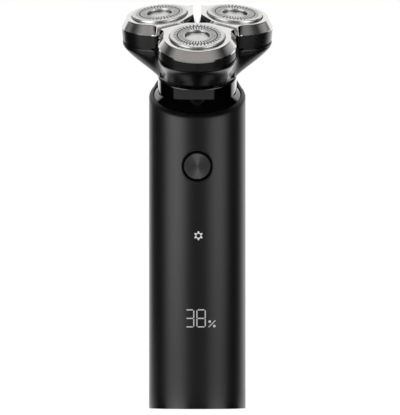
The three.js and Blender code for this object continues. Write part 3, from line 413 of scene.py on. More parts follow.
def makeTube():
    outer, bore, columns, patch = tube["radius"], tube["bore"], tube["columns"], tube["patch"]
    below, above, lip, boreRound = tube["rowsBelow"], tube["rowsAbove"], tube["lipRound"], tube["boreRound"]
    patchHalf = outer * math.sin(patch * 2 * math.pi / columns)
    low, high = tube["buttonHeight"] - patchHalf, tube["buttonHeight"] + patchHalf
    footTop = tube["foot"] + tube["footRound"]
    levels = [footTop + (low - footTop) * index / below for index in range(below)]
    levels += [low + (high - low) * index / (2 * patch) for index in range(2 * patch + 1)]

    def flat(height):
        return lambda y: height

    def upWall(share):
        return lambda y: high + (cutAt(y) - lip - high) * share

    def underRim(drop):
        return lambda y: cutAt(y) - drop

    rows = []
    for part in (0, 0.3, 0.7):
        turn = math.radians(90 * part)
        rows.append(tubeRow(outer - tube["footRound"] * (1 - math.sin(turn)),
                            flat(footTop - tube["footRound"] * math.cos(turn))))
    outerFirst = len(rows)
    rows += [tubeRow(outer, flat(level)) for level in levels]
    rows += [tubeRow(outer, upWall(index / above)) for index in range(1, above + 1)]
    rows += [tubeRow(outer - lip * inward, underRim(lip * down)) for inward, down in quarter(8, 1)]
    rows += [tubeRow(bore + boreRound * out, underRim(boreRound * down)) for down, out in quarter(4)]
    rows += [tubeRow(bore, upWall(index / above)) for index in range(above - 1, 0, -1)]
    boreFirst = len(rows)
    rows += [tubeRow(bore, flat(level)) for level in reversed(levels)]
    rows.append(tubeRow(bore, flat(tube["foot"])))

    def inPatch(row, column):
        across = column < patch or column >= columns - patch
        outside = outerFirst + below <= row < outerFirst + below + 2 * patch
        return across and (outside or boreFirst <= row < boreFirst + 2 * patch)

    points = [point for row in rows for point in row]
    faces = loopFaces(len(rows), columns, True, inPatch)

    def border(firstRow, falling):
        # the square round the button, once round; the bore's rows run down
        spots = [(0, side) for side in range(-patch, patch)]
        spots += [(row, patch) for row in range(2 * patch)]
        spots += [(2 * patch, side) for side in range(patch, -patch, -1)]
        spots += [(row, -patch) for row in range(2 * patch, 0, -1)]
        return [(firstRow + (2 * patch - row if falling else row)) * columns + side % columns
                for row, side in spots]

    def drawnIn(square, radius, share, target, depth=0):
        # the square, part of the way to a circle of the target's size
        loop = []
        for index in square:
            x, _, z = points[index]
            up = z - tube["buttonHeight"]
            scale = 1 + (target / math.hypot(x, up) - 1) * share
            loop.append(len(points))
            points.append((x * scale, depth - math.sqrt(radius ** 2 - (x * scale) ** 2),
                           tube["buttonHeight"] + up * scale))
        return loop

    def bridged(one, two):
        return [(one[index - 1], one[index], two[index], two[index - 1]) for index in range(len(one))]

    edges = []
    for firstRow, radius, rounding in ((outerFirst + below, outer, tube["holeRound"]), (boreFirst, bore, 0)):
        square = border(firstRow, radius == bore)
        target = tube["holeRadius"] + rounding
        shares = [(ring + 1) / tube["rings"] for ring in range(tube["rings"])]
        loops = [square] + [drawnIn(square, radius, share, target) for share in shares]
        for part in (0.33, 0.67, 1) if rounding else ():
            turn = math.radians(90 * part)
            loops.append(drawnIn(square, radius, 1, target - rounding * math.sin(turn),
                                 rounding * (1 - math.cos(turn))))
        for one, two in zip(loops, loops[1:]):
            faces += bridged(one, two)
        edges.append(loops[-1])

    def bearing(index):
        return math.degrees(math.atan2(points[index][2] - tube["buttonHeight"], points[index][0]))

    # the hole's wall joins each corner in front to the bore's corner nearest in bearing
    front, back = edges
    corners = {round(bearing(index), 1): index for index in back}

    def behind(index):
        return corners[min(corners, key=lambda angle: abs((angle - bearing(index) + 180) % 360 - 180))]

    faces += bridged(front, [behind(index) for index in front])
    return meshFrom("tubeShell", points, faces)


settle(makeTube(), "handle", "shell_black", "body_shell")
print("tube made")

neck = dict(
    tilt=21, rimHeight=7.5, rimRadius=15.5, rimInner=14.1, rimRound=0.35, deck=6.7,
    deckThick=1.5, wall=1.4, flareTop=121.9, flareSide=2.0, flareLeast=1.5, flareEase=0.8,
    plugRadius=17.3, plugInner=15.4, plugLow=112.63, plugEdge=0.1, drop=0.42,
    sleeve=8.4, sleeveWall=1.4, floorLow=-1.6, bush=4.3, underIn=1.5, columns=144, rows=20,
)
headPlace = leaning(tube["cutHeight"], neck["tilt"])


def neckWall(angle, c, radius=neck["rimRadius"]):
    # a point round the head's axis, c up it, in the tube's own directions
    tilt, y = math.radians(neck["tilt"]), -radius * math.cos(angle)
    return (radius * math.sin(angle), y * math.cos(tilt) - c * math.sin(tilt),
            tube["cutHeight"] + y * math.sin(tilt) + c * math.cos(tilt))


def neckStart(angle):
    # where the straight wall ends and the flare to the rim begins
    tilt = math.radians(neck["tilt"])

    def wallAt(height):
        rise = height - tube["cutHeight"] + neck["rimRadius"] * math.cos(angle) * math.sin(tilt)
        return rise / math.cos(tilt)

    top = neck["flareTop"] + neck["flareSide"] * math.sin(angle) ** 4
    height = top
    for _ in range(3):
        x, y, _ = neckWall(angle, wallAt(height))
        foot = cutAt(y / math.hypot(x, y) * neck["plugRadius"]) - neck["drop"] + neck["flareLeast"]
        above = top - foot
        height = foot + (above + math.hypot(above, neck["flareEase"])) / 2
    return wallAt(height)


def makeNeck():
    angles = turnsRound(neck["columns"])
    starts = [neckStart(angle) for angle in angles]
    rim, top, rimRound = neck["rimRadius"], neck["rimHeight"], neck["rimRound"]
    inner, deck, sleeve, floorLow = neck["rimInner"], neck["deck"], neck["sleeve"], neck["floorLow"]
    plug, edge = neck["plugRadius"], neck["plugEdge"]

    def onPlug(radius, heightOf):
        row = []
        for angle, start in zip(angles, starts):
            x, y, _ = neckWall(angle, start)
            scale = radius / math.hypot(x, y)
            row.append((x * scale, y * scale, heightOf(y * scale)))
        return row

    def ring(radius, c):
        return [neckWall(angle, c, radius) for angle in angles]

    rows = [onPlug(neck["plugInner"], lambda y: neck["plugLow"]), onPlug(plug, lambda y: neck["plugLow"]),
            onPlug(plug, lambda y: cutAt(y) - neck["drop"] - edge)]
    feet = onPlug(plug - edge / 2, lambda y: cutAt(y) - neck["drop"])
    for share in (0, 0.17, 0.33, 0.5, 0.67, 0.83):
        rows.append([tuple(Vector(foot).lerp(Vector(neckWall(angle, start)), share))
                     for foot, angle, start in zip(feet, angles, starts)])
    for index in range(neck["rows"] + 1):
        share = index / neck["rows"]
        rows.append([neckWall(angle, start + (top - rimRound - start) * share)
                     for angle, start in zip(angles, starts)])
    rows += [ring(rim - rimRound * inward, top - rimRound * down) for inward, down in quarter(5, 1)]
    outside, under = sleeve + neck["sleeveWall"], deck - neck["deckThick"]
    rows += [ring(radius, c) for radius, c in (
        (inner + 0.2, top), (inner + 0.06, top - 0.06), (inner, top - 0.2), (inner, deck + 0.1),
        (inner - 0.1, deck), (sleeve + 0.15, deck), (sleeve, deck - 0.15), (sleeve, 0.05), (sleeve - 0.05, 0),
        (neck["bush"], 0), (neck["bush"], floorLow), (outside, floorLow), (outside, under),
        (rim - neck["underIn"], under))]
    rows.append([neckWall(angle, start, rim - neck["wall"]) for angle, start in zip(angles, starts)])
    return loopPiece("neckCollar", rows, None, 28)


settle(makeNeck(), "handle", "neck_gloss", "neck_collar")
print("neck made")

head = dict(
    low=8.6, edge=18.5, bottomRadius=15.8, bottomRound=0.35, topRound=0.1, wall=1.6,
    bulgePower=1.34, innerPower=1.2, innerEdge=0.2, frontLift=1.9, frontTop=1.5,
    frontStraight=0.2, frontEnd=62, frontFade=16, lobeRadius=15.4, lobeOffset=16.217,
    waist=18.4, sharpness=12, podOffset=17.2284, podTop=30.965, podLean=5.5,
    roomBelow=10.55, shortRoom=8.65, shortReach=10.75, shortSlope=0.6,
    collarInner=9.5, collarHigh=14.2, collarCut=1.1, columns=360, rows=26,
    ridgeIn=0.75, ridgeWide=0.6, ridgeTall=1.2, ridgeEnd=50, ridgeFade=3, edgeCut=0.1,
)
post = dict(reach=15.1, radius=1.9, low=9.9, high=21.6, edge=0.2)
thirds = (0, 1, 2)


def thirdTurn(third):
    return math.radians(120 * third - 90)


def reach(angle, radius, waist, offset):
    side = offset * abs(math.sin(angle))
    lobe = offset * math.cos(angle) + math.sqrt(radius ** 2 - side ** 2) if side < radius else 0
    power = head["sharpness"]
    return (max(lobe, 0) ** power + waist ** power) ** (1 / power)


def frontShare(turn):
    # the lobe at the front starts its taper a little higher than the two behind
    away = abs((math.degrees(turn - thirdTurn(0)) + 180) % 360 - 180)
    return eased(clamped((head["frontEnd"] - away) / head["frontFade"]))


def makeHousing():
    turns = turnsRound(head["columns"])
    lean = math.radians(head["podLean"])
    sides = [((turn - thirdTurn(0) + math.pi / 3) % (2 * math.pi / 3)) - math.pi / 3 for turn in turns]
    fronts = [frontShare(turn) for turn in turns]
    low, wall, cut = head["low"], head["wall"], head["edgeCut"]
    bottomRound, topRound, depth = head["bottomRound"], head["topRound"], head["edge"] - low

    def outline(shareOf, inset, heightOf):
        row = []
        for turn, side, front in zip(turns, sides, fronts):
            share = shareOf(front)
            lobe = reach(side, head["lobeRadius"] - inset, head["waist"] - inset, head["lobeOffset"])
            length = (head["bottomRadius"] - inset) * (1 - share) + lobe * share
            height = heightOf(length * math.cos(side), front)
            row.append((length * math.cos(turn), length * math.sin(turn), height))
        return row

    def whole(front):
        return 1

    def edgeOf(front):
        return head["edge"] + head["frontLift"] * front

    def wallTop(outward, front, drop=0):
        # under each pod's band, which is shorter beside the gaps between the pods
        share = clamped((head["shortReach"] - outward) / head["shortSlope"])
        below = head["roomBelow"] - head["frontTop"] * front
        below += (head["shortRoom"] - below) * share
        below += (outward - head["podOffset"]) * math.sin(lean)
        return head["podTop"] - below / math.cos(lean) - drop

    def taperRow(part, inset, power=head["bulgePower"], start=low, above=0):
        return outline(lambda front: 1 - (1 - part) ** (power - head["frontStraight"] * front), inset,
                       lambda outward, front: start + (edgeOf(front) + above - start) * part)

    def upperRow(share):
        return outline(whole, 0, lambda outward, front: edgeOf(front) + (
            wallTop(outward, front) - topRound - edgeOf(front)) * share)

    def topRow(inset, drop=0):
        return outline(whole, inset, lambda outward, front: wallTop(outward, front, drop))

    def ridge(inset, lift):
        # a rib inside the wall's top that closes the view into the gap
        shares = [clamped((head["ridgeEnd"] - abs(math.degrees(side))) / head["ridgeFade"]) for side in sides]
        return [(x, y, c + lift * share) for (x, y, c), share in zip(topRow(inset), shares)]

    rows = [taperRow(bottomRound * up / depth, bottomRound * inset) for up, inset in quarter(5)]
    start = bottomRound / depth
    rows += [taperRow(start + (1 - start) * (index + 1) / head["rows"], 0) for index in range(head["rows"])]
    rows += [upperRow(share) for share in (0.25, 0.5, 0.75, 1)]
    rows += [topRow(topRound * inset, topRound * drop) for inset, drop in quarter(3, 1)]
    near, far, tall = head["ridgeIn"], head["ridgeIn"] + head["ridgeWide"], head["ridgeTall"]
    rows += [ridge(inset, lift) for inset, lift in (
        (near, 0), (near, tall - cut), (near + cut, tall), (far - cut, tall), (far, tall - cut), (far, 0))]
    rows += [topRow(wall - cut), topRow(wall, cut)]
    floorTop = low + wall
    rows += [taperRow(index / 8, wall, head["innerPower"], floorTop, head["innerEdge"])
             for index in range(8, -1, -1)]
    inner, high, chamfer = head["collarInner"], head["collarHigh"], head["collarCut"]
    outside = inner + wall
    rows += [[(radius * math.cos(turn), radius * math.sin(turn), c) for turn in turns] for radius, c in (
        (outside, floorTop), (outside, high - cut), (outside - cut, high), (inner + cut, high),
        (inner, high - cut), (inner, low + chamfer), (inner + chamfer, low))]
    return loopPiece("headHousing", rows, headPlace, 30)


def makePost(third):
    turn, away = thirdTurn(third), -post["reach"] * mm
    radius, low, high = post["radius"], post["low"], post["high"]
    place = headPlace @ Matrix.Translation((away * math.cos(turn), away * math.sin(turn), 0))
    return turnedPiece("post", [(0, low), (radius, low), (radius, high, post["edge"]), (0, high)], place, 40)


housing = joined("headHousing", makeHousing(), *[makePost(third) for third in thirds])
bpy.context.view_layer.update()
settle(fixed(housing), "head", "head_black", "head_housing")
print("head housing made")

pod = dict(
    gapHalf=1.2, gapHalfTop=1.5, waistTop=17.6, capRadius=13.1, tipLip=14.4, tipTop=13.0,
    arcSteps=72, cornerRound=0.4, tipRound=0.35, innerRound=0.4, cornerSteps=6,
    sideSteps=8, tipSteps=4, bevelSteps=6, bevel=(0.01, 0.85),
    frontCap=(-4.1, -4.85), rearCap=(-4.28, -4.52), capTop=-0.85, edgeShare=0.88, edgeHeight=-1.2,
    edge=((0.885, -1.19), (0.915, -1.05), (0.95, -0.94), (0.99, -0.87)), topShare=1.04,
    capHole=11.2, holeRound=0.16, capWall=1.0, capStep=0.6,
    bandGap=0.03, bandFoot=-9.75, bandFront=-8.25, bandShort=-7.85, bandInset=0.05,
    bandWall=1.2, notchAt=-6.19, notchWide=0.5, rebate=1.25, rebateWall=0.32,
)


def capSizes(share):
    return [low + (high - low) * share for low, high in (
        (head["lobeRadius"], pod["capRadius"]), (head["waist"], pod["waistTop"]),
        (pod["gapHalf"], pod["gapHalfTop"]), (pod["tipLip"], pod["tipTop"]))]


def podOutline(share, inset=0, rounding=None):
    # a round lobe with two straight sides that meet the other pods, and a blunt tip
    radius, waist, half, tip = capSizes(share)
    radius, waist, half, tip = radius - inset, waist - inset, half + inset, tip - inset
    offset, steps = head["podOffset"], pod["cornerSteps"]
    corner = math.pi / 3
    for _ in range(8):
        corner = math.pi / 3 - math.asin(half / reach(corner, radius, waist, offset))

    def onArc(angle):
        length = reach(angle, radius, waist, offset)
        return Vector((length * math.cos(angle) - offset, length * math.sin(angle)))

    outer, inner = (pod["cornerRound"], pod["tipRound"]) if rounding is None else (rounding, rounding)
    trim = outer / reach(corner, radius, waist, offset)
    tipHalf = ((offset - tip) * math.sin(math.pi / 3) - half) / math.cos(math.pi / 3)
    one, two = Vector((-tip, tipHalf)), Vector((-tip, -tipHalf))
    arcSteps = pod["arcSteps"]
    points = [onArc((corner - trim) * (-1 + 2 * index / arcSteps)) for index in range(arcSteps + 1)]
    first = points[0]
    points += bend(points[-1], onArc(corner), one, outer, steps)[1:]
    for curve, sideSteps in ((bend(onArc(corner), one, two, inner, steps), pod["sideSteps"]),
                             (bend(one, two, onArc(-corner), inner, steps), pod["tipSteps"]),
                             (bend(two, onArc(-corner), first, outer, steps), pod["sideSteps"])):
        start = points[-1]
        points += [start.lerp(curve[0], index / sideSteps) for index in range(1, sideSteps)] + curve
    return points[:-1]


def podPlace(third):
    return (headPlace @ Matrix.Rotation(thirdTurn(third), 4, "Z")
            @ Matrix.Translation((head["podOffset"] * mm, 0, head["podTop"] * mm))
            @ Matrix.Rotation(math.radians(head["podLean"]), 4, "Y"))


def atHeight(outline, height):
    return [(spot.x, spot.y, height) for spot in outline]


def capRows(lipHeight, footHeight):
    lip, rim = podOutline(0), podOutline(pod["topShare"])
    inner = podOutline(0, pod["capWall"], pod["innerRound"])
    top, hole, holeRound = pod["capTop"], pod["capHole"], pod["holeRound"]

    def circleAt(radius, height):
        return atHeight([spot.normalized() * radius for spot in rim], height)

    rows = [atHeight(lip, footHeight), atHeight(lip, lipHeight)]
    slope = (pod["edgeHeight"] - lipHeight) / pod["edgeShare"]
    first, last = pod["bevel"]
    for index in range(pod["bevelSteps"] + 1):
        share = first + (last - first) * index / pod["bevelSteps"]
        rows.append(atHeight(podOutline(share), lipHeight + slope * share))
    rows += [atHeight(podOutline(share), height) for share, height in pod["edge"]]
    rows.append(atHeight(rim, top))
    rows += [atHeight([spot.lerp(spot.normalized() * (hole + holeRound), part) for spot in rim], top)
             for part in (0.33, 0.66)]
    rows += [circleAt(hole + holeRound * out, top - holeRound * down) for down, out in quarter(4)]
    under = top - pod["capWall"]
    rows.append(circleAt(hole, under))
    rows.append(atHeight(podOutline(pod["edgeShare"], pod["capWall"], pod["innerRound"]), under))
    return rows + [atHeight(inner, footHeight + pod["capStep"]), atHeight(inner, footHeight)]


def bandRows(bandTop, bandFoot):
    inset, wall = pod["bandInset"], pod["bandWall"]
    outer, thin = podOutline(0, inset), podOutline(0, inset + pod["rebateWall"])
    inner = podOutline(0, inset + wall, pod["innerRound"])

    def footOf(spot):
        share = clamped((spot.x - pod["notchAt"]) / pod["notchWide"] + 0.5)
        return pod["bandShort"] + (bandFoot - pod["bandShort"]) * share

    feet = [footOf(spot) for spot in outer]

    def between(ring, share, lift=0):
        return [(spot.x, spot.y, foot + lift + (bandTop - foot) * share) for spot, foot in zip(ring, feet)]

    return [between(outer, share) for share in (0, 0.33, 0.66, 1)] + [
        atHeight(inner, bandTop), between(inner, 0, pod["rebate"]), between(thin, 0, pod["rebate"]),
        between(thin, 0)]


guard = dict(
    radius=10.8, round=0.2, flange=11.9, flangeTop=-2.15, foot=-2.9, sheet=0.28,
    tube=5.0, tubeFoot=-1.98, tubeRound=((0, -0.9), (0, -0.2), (0.05, -0.06), (0.18, 0)),
    slots=38, across=5, slotShare=(1, 3), innerSlots=(5.35, 7.5), outerSlots=(8.35, 9.35),
    slotStep=0.65, flatFrom=9.7, groove=7.9, grooveWide=0.22, grooveDepth=0.27, wallStep=-1.2,
)


def guardPiece(name, place):
    # a ground disc with two rows of slots, drawn down at its rim and at its middle
    tubeRadius, radius, rounding = guard["tube"], guard["radius"], guard["round"]
    (slotIn, slotOut), slotStep = guard["innerSlots"], guard["slotStep"]
    groove, wide = guard["groove"], guard["grooveWide"]
    profile = [(tubeRadius, guard["tubeFoot"])] + [(tubeRadius + out, up) for out, up in guard["tubeRound"]]
    innerFirst = len(profile)
    profile += [(slotIn, 0), (slotIn + slotStep, 0), (slotOut - slotStep, 0), (slotOut, 0),
                (groove - wide, 0), (groove, -guard["grooveDepth"]), (groove + wide, 0)]
    innerRows = range(innerFirst, innerFirst + 3)
    outerRows = range(len(profile), len(profile) + 1)
    profile += [(spot, 0) for spot in (*guard["outerSlots"], guard["flatFrom"], radius - rounding)]
    profile += [(radius - rounding * inset, -rounding * down) for down, inset in quarter(4, 1)]
    profile += [(radius, guard["wallStep"]), (radius, guard["flangeTop"]),
                (guard["flange"], guard["flangeTop"]), (guard["flange"], guard["foot"])]
    across, (low, high) = guard["across"], guard["slotShare"]

    def slotHere(row, column):
        shift = across // 2 if row in outerRows else 0
        return (row in innerRows or row in outerRows) and low <= (column + shift) % across < high

    rows = turnedRows(profile, guard["slots"] * across)
    piece = loopPiece(name, rows, place, 34, False, slotHere)
    thick = piece.modifiers.new("sheet", "SOLIDIFY")
    thick.thickness = guard["sheet"] * mm
    thick.offset = -1
    return piece


hub = dict(radius=4.7, top=-1.0, foot=-2.0, edge=0.22, crown=0.05, flat=0.6, rise=0.3, ease=0.5)
hubFinish = grainMaterial(hubSteel)
hubProfile = [
    (0, hub["top"]), (hub["radius"] * hub["flat"], hub["top"] - hub["crown"] * hub["rise"], hub["ease"]),
    (hub["radius"], hub["top"] - hub["crown"], hub["edge"]), (hub["radius"], hub["foot"]), (0, hub["foot"]),
]
for third in thirds:
    label, place = third + 1, podPlace(third)
    body = "pod_%d" % label
    capLip, capFoot = pod["rearCap"] if third else pod["frontCap"]
    bandFoot = pod["bandFoot"] if third else pod["bandFront"]
    cap = loopPiece("capSilver_%d" % label, capRows(capLip, capFoot), place, 30)
    settle(fixed(cap), body, "cap_silver", "pod_cap_%d" % label)
    band = loopPiece("podBand_%d" % label, bandRows(capFoot - pod["bandGap"], bandFoot), place, 32)
    settle(fixed(band), body, "head_black", "pod_frame_%d" % label)
    settle(guardPiece("guardDisc_%d" % label, place), body, "guard_steel", "cutter_guard_%d" % label)
    middle = turnedPiece("guardMiddle_%d" % label, hubProfile, place)
    settle(fixed(middle), body, "guard_steel", "guard_hub_%d" % label, finish=hubFinish)
print("cutter pods made")

button = dict(
    radius=5.1, face=19.05, thick=1.7, edge=0.16, edgeRound=0.05, backRound=0.1,
    dish=0.10, dishCurve=((1.6, 0.86), (3.4, 0.42)), soft=0.8,
)
gasket = dict(
    inner=5.3, outer=5.7, face=18.1, flange=7.2, foot=14.5, flangeFace=15.4,
    lipRound=0.12, flangeRound=0.15,
)
buttonPlace = leaning(tube["buttonHeight"], 90)


def makeButton():
    # a shallow dish with a thin bright edge
    face, radius, edge, dish = button["face"], button["radius"], button["edge"], button["dish"]
    back, edgeRound = face - button["thick"], button["edgeRound"]
    return turnedPiece("buttonCap", [
        (0, face - dish), *[(out, face - dish * deep, button["soft"]) for out, deep in button["dishCurve"]],
        (radius - edge, face, edgeRound), (radius, face - edge, edgeRound),
        (radius, back, button["backRound"]), (0, back),
    ], buttonPlace, 128, 40)


def makeGasket():
    inner, outer, flange, lip = gasket["inner"], gasket["outer"], gasket["flange"], gasket["lipRound"]
    return turnedPiece("buttonGasket", [
        (inner, gasket["foot"]), (flange, gasket["foot"]),
        (flange, gasket["flangeFace"], gasket["flangeRound"]), (outer, gasket["flangeFace"]),
        (outer, gasket["face"], lip), (inner, gasket["face"], lip),
    ], buttonPlace)


settle(makeButton(), "button", "button_metal", "button_cap")
settle(makeGasket(), "handle", "button_rubber", "button_gasket")
print("button made")

display = dict(
    middle=35.75, tall=7.15, stroke=0.44, gap=0.1, first=(-4.25, -1.17), second=(-0.37, 3.36),
    sign=(4.33, 7.25), signIn=0.1, signTall=2.85, signStroke=0.36, dot=0.54,
    dotHole=0.02, dotIn=0.56, proud=0.03, sink=0.02,
    glow=dict(name="displayGlow", colour=(0.40,) * 3, second=(0.46,) * 3),
)
icon = dict(
    x=0.45, z=68.3, hole=0.80, body=1.15, tip=1.8, teeth=6, parts=8, toothHalf=0.34,
    steep=1.5, glow=dict(name="iconGlow", colour=(0.58, 0.58, 0.57), second=(0.64, 0.64, 0.63)),
)
unlit = dict(colour=(0.02, 0.02, 0.02), second=(0.03, 0.03, 0.03), grain=3000, settings={
    "IOR": 1.45, "Roughness": 0.4, "Emission Strength": 1.0})


def litMaterial(look):
    material, tree, shader = startMaterial(look["name"], unlit["settings"])
    glow = noiseOf(tree, place3d(tree), unlit["grain"], 2)
    for socket, tones in (("Emission Color", look), ("Base Color", unlit)):
        tree.links.new(blended(tree, glow, tones["colour"], tones["second"]), shader.inputs[socket])
    return material


def inlay(name, outlines, slices=6):
    # thin plates that follow the tube; each outline is four corners, cut into slices
    points, faces = [], []
    for corners in outlines:
        first = len(points)
        a, b, c, d = [Vector(corner) for corner in corners]
        for index in range(slices + 1):
            share = index / slices
            for out in (display["proud"], -display["sink"]):
                for x, z in (a.lerp(b, share), d.lerp(c, share)):
                    points.append((x, -math.sqrt(tube["radius"] ** 2 - x ** 2) - out, z))
        for index in range(slices):
            near, far = first + index * 4, first + index * 4 + 4
            faces += [(near, far, far + 1, near + 1), (near + 2, near + 3, far + 3, far + 2),
                      (near, near + 2, far + 2, far), (near + 1, far + 1, far + 3, near + 3)]
        last = first + slices * 4
        faces += [(first, first + 1, first + 3, first + 2), (last, last + 2, last + 3, last + 1)]
    return meshFrom(name, points, faces, None, 30)


def bar(x0, x1, z0, z1):
    return [(x0, z0), (x1, z0), (x1, z1), (x0, z1)]


def digitBars(left, right, sides):
    # three level bars, and two upright ones on each lit side
    middle, stroke, gap, half = display["middle"], display["stroke"], display["gap"], display["tall"] / 2
    low, high = middle - half, middle + half
    barLeft = left + (stroke + gap if "left" in sides else 0)
    bars = [bar(barLeft, right - stroke - gap, z, z + stroke)
            for z in (high - stroke, middle - stroke / 2, low)]
    for side in sides:
        x = left if side == "left" else right - stroke
        bars.append(bar(x, x + stroke, middle + gap * 1.6, high - stroke - gap * 0.2))
        bars.append(bar(x, x + stroke, low + stroke + gap * 0.2, middle - gap * 1.6))
    return bars


def wedge(x, z, inner, outer, start, end):
    # a slice of a ring; each of its ends may have its own outer size
    return [(x + radius * math.cos(turn), z + radius * math.sin(turn)) for radius, turn in (
        (inner, start), (outer[0], start), (outer[1], end), (inner, end))]


def roundDot(x, z, count=24):
    step = 2 * math.pi / count
    return [wedge(x, z, display["dotHole"], (display["dot"],) * 2, index * step, (index + 1) * step)
            for index in range(count)]


def makeDisplay():
    bars = digitBars(*display["first"], ("right",)) + digitBars(*display["second"], ("left", "right"))
    low, wide = display["middle"] - display["tall"] / 2, display["stroke"] * display["signStroke"]
    high, dotIn, (signLeft, signRight) = low + display["signTall"], display["dotIn"], display["sign"]
    left, right = signLeft + display["signIn"], signRight - display["signIn"]
    bars.append([(left + wide, low), (right + wide, high - wide),
                 (right - wide, high), (left - wide, low + wide)])
    dots = roundDot(signLeft + dotIn, high - dotIn) + roundDot(signRight - dotIn, low + dotIn)
    return inlay("displayDigits", bars), inlay("displayMarks", dots, 2)


def makeIcon():
    # a small toothed ring
    teeth, parts = icon["teeth"], icon["parts"]

    def edgeAt(index):
        lift = max(0, 1 - abs(index % parts / parts - 0.5) / icon["toothHalf"])
        return icon["body"] + (icon["tip"] - icon["body"]) * min(1, lift * icon["steep"])

    step, start = 2 * math.pi / (teeth * parts), math.pi / 2 - math.pi / teeth
    return inlay("lockIcon", [
        wedge(icon["x"], icon["z"], icon["hole"], (edgeAt(index), edgeAt(index + 1)),
              start + index * step, start + (index + 1) * step) for index in range(teeth * parts)], 2)


displayLight, iconLight = litMaterial(display["glow"]), litMaterial(icon["glow"])
for piece in makeDisplay():
    settle(piece, "handle", "light_plastic", finish=displayLight)
settle(makeIcon(), "handle", "light_plastic", finish=iconLight)
print("display made")

# What shiny surfaces see round the object, by direction: each band's stops are an azimuth in degrees
# from the front, positive to the right, with a brightness, and its edge is the elevations over which
# it takes over from the band before it
room = dict(
    below=[(-180, 1.0), (-126, 1.0), (-118, 0.0), (-86, 0.0), (-80, 0.3), (57, 0.3), (62, 0.0),
           (118, 0.0), (126, 1.0), (180, 1.0)],
    level=[(-180, 1.6), (-148, 1.3), (-138, 0.0), (-86, 0.0), (-72, 2.8), (-50, 4.4), (-34, 2.8), (-20, 0.1),
           (20, 0.1), (34, 2.1), (50, 3.2), (67, 2.2), (80, 0.0), (122, 0.0), (132, 1.1), (152, 1.7),
           (180, 1.7)],
    above=[(-180, 1.0), (-134, 1.0), (-127, 0.0), (-100, 0.0), (-86, 0.12), (-74, 0.28), (-58, 0.38),
           (35, 0.38), (50, 0.28), (64, 0.16), (78, 0.05), (88, 0.0), (127, 0.0), (134, 1.0), (180, 1.0)],
    raised=[(-180, 1.0), (-140, 0.9), (-114, 0.3), (-95, 0.04), (-82, 0.07), (-62, 0.36), (-48, 0.32),
            (-32, 0.08), (-14, 0.06), (14, 0.06), (28, 0.1), (42, 0.26), (54, 0.22), (66, 0.06), (80, 0.03),
            (98, 0.3), (120, 0.6), (140, 1.0), (180, 1.0)],
    high=[(-180, 1.0), (-134, 1.0), (-122, 0.0), (122, 0.0), (134, 1.0), (180, 1.0)],
    edges=dict(level=(-11, -6), above=(4, 8), raised=(20, 23), high=(29.8, 31.2)),
    warmth=(1.06, 1.0, 0.965), warmFrom=0.05, warmTo=0.6, top=0.95, topEdge=(76, 84),
    most=5.0, diffuse=0.8,
)
sweep = dict(
    size=14.0, cells=24, shade=0.16, glow=0.875, bounce=0.85, dip=0.36,
    near=(0.10, 0.12), nearLeast=0.40, far=(0.26, 0.42), bodyHalf=0.0097,
)
lamp = dict(place=(-0.35, -0.45, 0.75), aim=(0, 0, 0.08), size=0.5, power=2.2)
viewer = dict(distance=6.0, x=0.00107, height=0.0794, tallSeen=0.1639, sensor=36)


def azimuthRamp(tree, position, band):
    ramp = put(tree, "ValToRGB", "Color", {"Fac": position})
    elements = ramp.node.color_ramp.elements
    elements.remove(elements[0])
    for index, (azimuth, value) in enumerate(room[band]):
        spot = azimuth / 360 + 0.5
        element = elements[0] if index == 0 else elements.new(spot)
        element.position = spot
        warm = band == "above" and room["warmFrom"] < value < room["warmTo"]
        tint = room["warmth"] if warm else (1, 1, 1)
        element.color = (*[value / room["most"] * part for part in tint], 1)
    return ramp


def makeRoom():
    group = bpy.data.node_groups.new("studioRoom", "ShaderNodeTree")
    group.interface.new_socket("Direction", in_out="INPUT", socket_type="NodeSocketVector")
    group.interface.new_socket("Color", in_out="OUTPUT", socket_type="NodeSocketColor")
    entry, leave = group.nodes.new("NodeGroupInput"), group.nodes.new("NodeGroupOutput")
    unit = put(group, "VectorMath", "Vector", {0: entry.outputs["Direction"]}, operation="NORMALIZE")
    x, y, z = splitOf(group, unit)
    azimuth = mathNode(group, "ARCTAN2", x, mathNode(group, "MULTIPLY", y, -1.0))
    position = mathNode(group, "ADD", mathNode(group, "DIVIDE", azimuth, 2 * math.pi), 0.5)
    elevation = mathNode(group, "MULTIPLY", mathNode(group, "ARCSINE", z), 180 / math.pi)
    colour = azimuthRamp(group, position, "below")
    for band, edge in room["edges"].items():
        share = ranged(group, elevation, 0, 1, *edge)
        colour = blended(group, share, colour, azimuthRamp(group, position, band))
    topShare = ranged(group, elevation, 0, 1, *room["topEdge"])
    colour = blended(group, topShare, colour, (room["top"] / room["most"],) * 3)
    scaled = put(group, "VectorMath", "Vector", {0: colour, "Scale": room["most"]}, operation="SCALE")
    group.links.new(scaled, leave.inputs["Color"])
    return group


def roomColour(tree, group, direction, bounced, seen):
    # mirror rays see the room, soft rays an even tone, and the camera the plain backdrop
    shown = put(tree, "Group", "Color", {}, node_tree=group)
    tree.links.new(direction, shown.node.inputs["Direction"])
    path = put(tree, "LightPath", "Is Camera Ray", {})
    colour = blended(tree, path.node.outputs["Is Diffuse Ray"], shown, (bounced,) * 3)
    return blended(tree, path, colour, (seen,) * 3), path


def makeWorld(group):
    world = bpy.data.worlds.new("studio")
    world.use_nodes = True
    bpy.context.scene.world = world
    tree = world.node_tree
    colour, _ = roomColour(tree, group, put(tree, "TexCoord", "Generated", {}), room["diffuse"], 1.0)
    tree.links.new(colour, tree.nodes["Background"].inputs["Color"])


